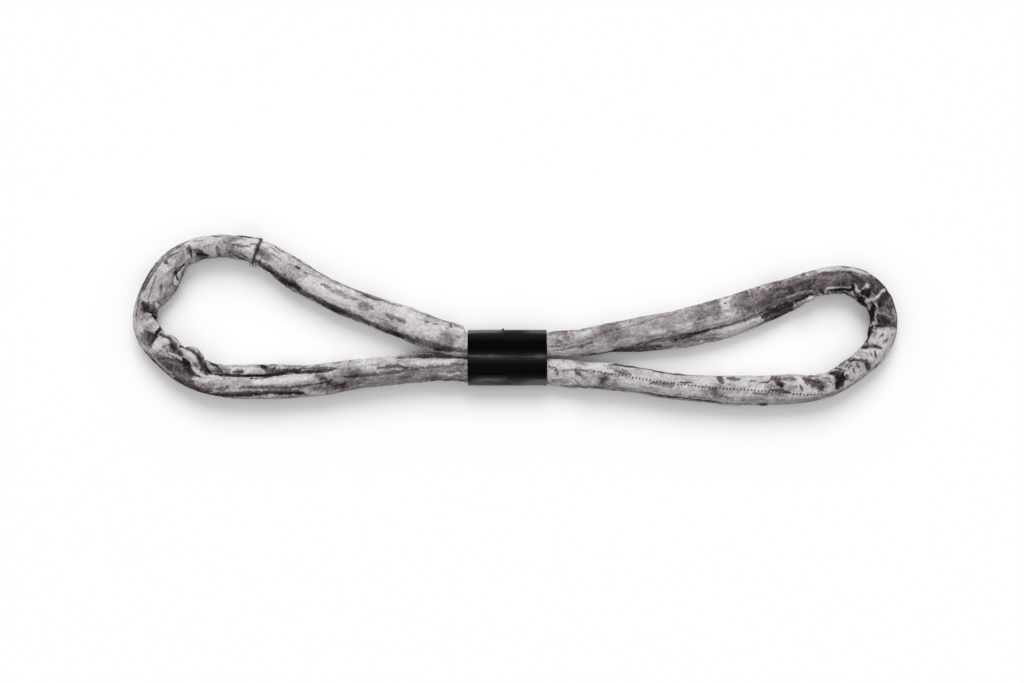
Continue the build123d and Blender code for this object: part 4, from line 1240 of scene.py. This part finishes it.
def seam_ring(offset, lift, angles):
    """Points round the closing seam, an offset along the tube and a lift off the velvet."""
    turned = np.mod(angles, 2 * pi)
    closed = np.append(jacket_tube["angles"], 2 * pi)
    first, normals = jacket_points[0], jacket_tube["normal"][0]
    place = on_line(turned, closed, np.vstack([first, first[:1]]))
    out = on_line(turned, closed, np.vstack([normals, normals[:1]]))
    return place + out * np.reshape(lift, (-1, 1)) + jacket_tube["heading"][0] * np.reshape(offset, (-1, 1))


# The whipping round the closing seam: one thread round it, stitches across it, knots and frayed ends.
# Here and below, the sine of a count makes each stitch or fibre a little different.
SEAM_STITCHES = 26
SEAM_THREAD = 0.24 * MM
FRAY_ENDS = 9
around = np.linspace(0.0, 2 * pi, 120)
wander = value_noise(np.stack([np.cos(around), np.sin(around), around * 0], axis=1) * 3.0, SEEDS["seam"])
closing_parts = [tube_parts(seam_ring(wander * 0.9 * MM, 0.0, around), SEAM_THREAD)]
for stitch in range(SEAM_STITCHES):
    angle = 2 * pi * (stitch + 0.3 * sin(stitch * 2.3)) / SEAM_STITCHES
    reach = (0.8 + 0.5 * sin(stitch * 1.7)) * MM
    slant = 0.09 + 0.05 * sin(stitch * 3.1)
    share = np.linspace(-1.0, 1.0, 7)
    lifts = 0.42 * MM * (1.0 - share**2) - 0.12 * MM
    closing_parts.append(tube_parts(seam_ring(share * reach, lifts, angle + share * slant), SEAM_THREAD))
top_knot = seam_ring([0.0], [0.7 * MM], [0.0])[0]
inner_knot = seam_ring([0.4 * MM], [0.5 * MM], [pi])[0]
second_knot = top_knot + [0.5 * MM, -0.5 * MM, 0.9 * MM]
knots = [(top_knot, 0.95 * MM), (second_knot, 0.6 * MM), (inner_knot, 0.8 * MM)]
for number, (middle, size) in enumerate(knots):
    closing_parts.append(lump_parts(middle, size, SEEDS["knots"] + number))
for fray in range(FRAY_ENDS):
    angle = pi + 0.12 * sin(fray * 2.1)
    offset = (fray / (FRAY_ENDS - 1) - 0.35) * 3.6 * MM
    start = seam_ring([offset], [-0.2 * MM], [angle])[0]
    length = (2.2 + 1.6 * abs(sin(fray * 1.3 + 0.4))) * MM
    lean = np.array([0.55 * sin(fray * 1.9), -1.0, 0.12 * cos(fray * 2.7)])
    curl = np.array([0.6 * cos(fray * 2.3), 0.2 * sin(fray), -0.25])
    share = np.linspace(0.0, 1.0, 8)[:, None]
    line = start + lean * length * share + curl * length * share**2
    closing_parts.append(tube_parts(line, np.linspace(0.22, 0.08, 8) * MM, 6))
joined("closing_seam_thread", closing_parts, seam_thread, "closing_thread")

# The stitches of the side seam, which lean one way and the other in turn.
STITCH_PITCH = 3.5  # pixels
STITCH_THREAD = 0.34 * MM
STITCH_LEANS = ([0.7, 0.71, 0.0], [0.55, 0.83, 0.0])
stitch_parts = []
seam_pixels = np.array(SIDE_SEAM, dtype=float)
seam_walk = walk(seam_pixels)
for number, distance in enumerate(np.arange(0.0, seam_walk[-1], STITCH_PITCH)):
    px, py = on_line([distance], seam_walk, seam_pixels)[0]
    top, normal = on_top(px, py + 0.35 * sin(number * 1.9))
    run = np.array(STITCH_LEANS[number % 2])
    run -= normal * (run @ normal)
    run /= np.linalg.norm(run)
    share = np.linspace(-1.0, 1.0, 7)[:, None]
    half = (0.62 + 0.12 * sin(number * 2.9)) * MM
    line = top + run * share * half + normal * (0.22 * (1.0 - share**2) - 0.06) * MM
    stitch_parts.append(tube_parts(line, STITCH_THREAD, 6))
joined("side_seam_stitches", stitch_parts, dark_thread, "side_stitches")

# The loose end of that thread: lumps of a knot, by x, y and size from its middle, and fibres.
TAIL_PIXEL = (763.0, 404.4)
TAIL_Z = 10.6 * MM  # on the jacket's flank, above its widest
TAIL_FIBRES = 22
TAIL_LUMPS = [(-3.0, 0.3, 0.6), (-1.6, 0.3, 1.0), (0.0, 0.2, 1.2), (1.5, 0.5, 1.1), (2.9, 0.9, 0.7)]
tail_middle = np.array([*at_pixel(*TAIL_PIXEL), TAIL_Z])
tail_parts = []
for number, (x, y, size) in enumerate(TAIL_LUMPS):
    tail_parts.append(lump_parts(tail_middle + [x * MM, y * MM, 0.0], size * MM, SEEDS["tail"] + number))
for fibre in range(TAIL_FIBRES):
    spread = np.array([0.5 * sin(fibre * 2.4), 0.6 * cos(fibre * 1.7), 0.7 * sin(fibre * 1.1 + 1.0)])
    start = tail_middle + np.array([-2.3, 0.3, 0.0]) * MM + spread * 0.5 * MM
    length = (3.4 + 1.3 * sin(fibre * 3.3)) * MM
    run = np.array([1.0, -0.12 + 0.16 * sin(fibre * 1.3), 0.14 * cos(fibre * 2.2)])
    share = np.linspace(0.0, 1.0, 7)[:, None]
    line = start + run * length * share + spread * share * (1.0 - share) * 1.6 * MM
    tail_parts.append(tube_parts(line, np.linspace(0.28, 0.14, 7) * MM, 6))
joined("thread_tuft", tail_parts, dark_thread, "thread_tail")

for cad_name, color in (("core_yarn", (0.75, 0.73, 0.68)), ("splice_tape", (0.7, 0.69, 0.66))):
    cad_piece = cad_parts[cad_name]
    cad_piece.data.materials.clear()
    cad_piece.data.materials.append(thread_material(cad_name + "_fibre", color))

# ---- Floor, light and camera ----
# The floor's level comes from a little light all round, a wide soft light overhead and a lamp leaning in from
# +Y: each light is its share of that level, its lean and its width.
FLOOR_LEVEL = 1.03
WORLD_SHARE = 0.06
LIGHTS = {"overhead": (0.59, radians(6), radians(145)), "window": (0.35, radians(50), radians(34))}

bpy.ops.mesh.primitive_plane_add(size=6.0, location=(0.0, 0.0, -0.05 * MM))
floor = bpy.context.object
floor.name = "table_top"
floor.data.materials.append(floor_material())

world = bpy.data.worlds.new("studio")
scene.world = world
world.use_nodes = True
background = world.node_tree.nodes["Background"]
background.inputs["Color"].default_value = (1.0, 1.0, 1.0, 1.0)
background.inputs["Strength"].default_value = FLOOR_LEVEL * WORLD_SHARE
for light_name, (level, lean, width) in LIGHTS.items():
    light_data = bpy.data.lights.new(light_name, "SUN")
    light_data.energy = FLOOR_LEVEL * level * pi / cos(lean)
    light_data.angle = width
    light = bpy.data.objects.new(light_name, light_data)
    scene.collection.objects.link(light)
    light.rotation_euler = (-lean, 0.0, 0.0)

SENSOR_WIDTH = 36.0
camera_data = bpy.data.cameras.new("camera")
camera_data.sensor_width = SENSOR_WIDTH
camera_data.lens = SENSOR_WIDTH * CAMERA_HEIGHT / (IMAGE_SIZE[0] * PIXEL)
camera = bpy.data.objects.new("camera", camera_data)
scene.collection.objects.link(camera)
camera.location = (*at_pixel(IMAGE_SIZE[0] / 2, IMAGE_SIZE[1] / 2), TUBE_Z + CAMERA_HEIGHT)
scene.camera = camera

scene.view_settings.view_transform = "Standard"
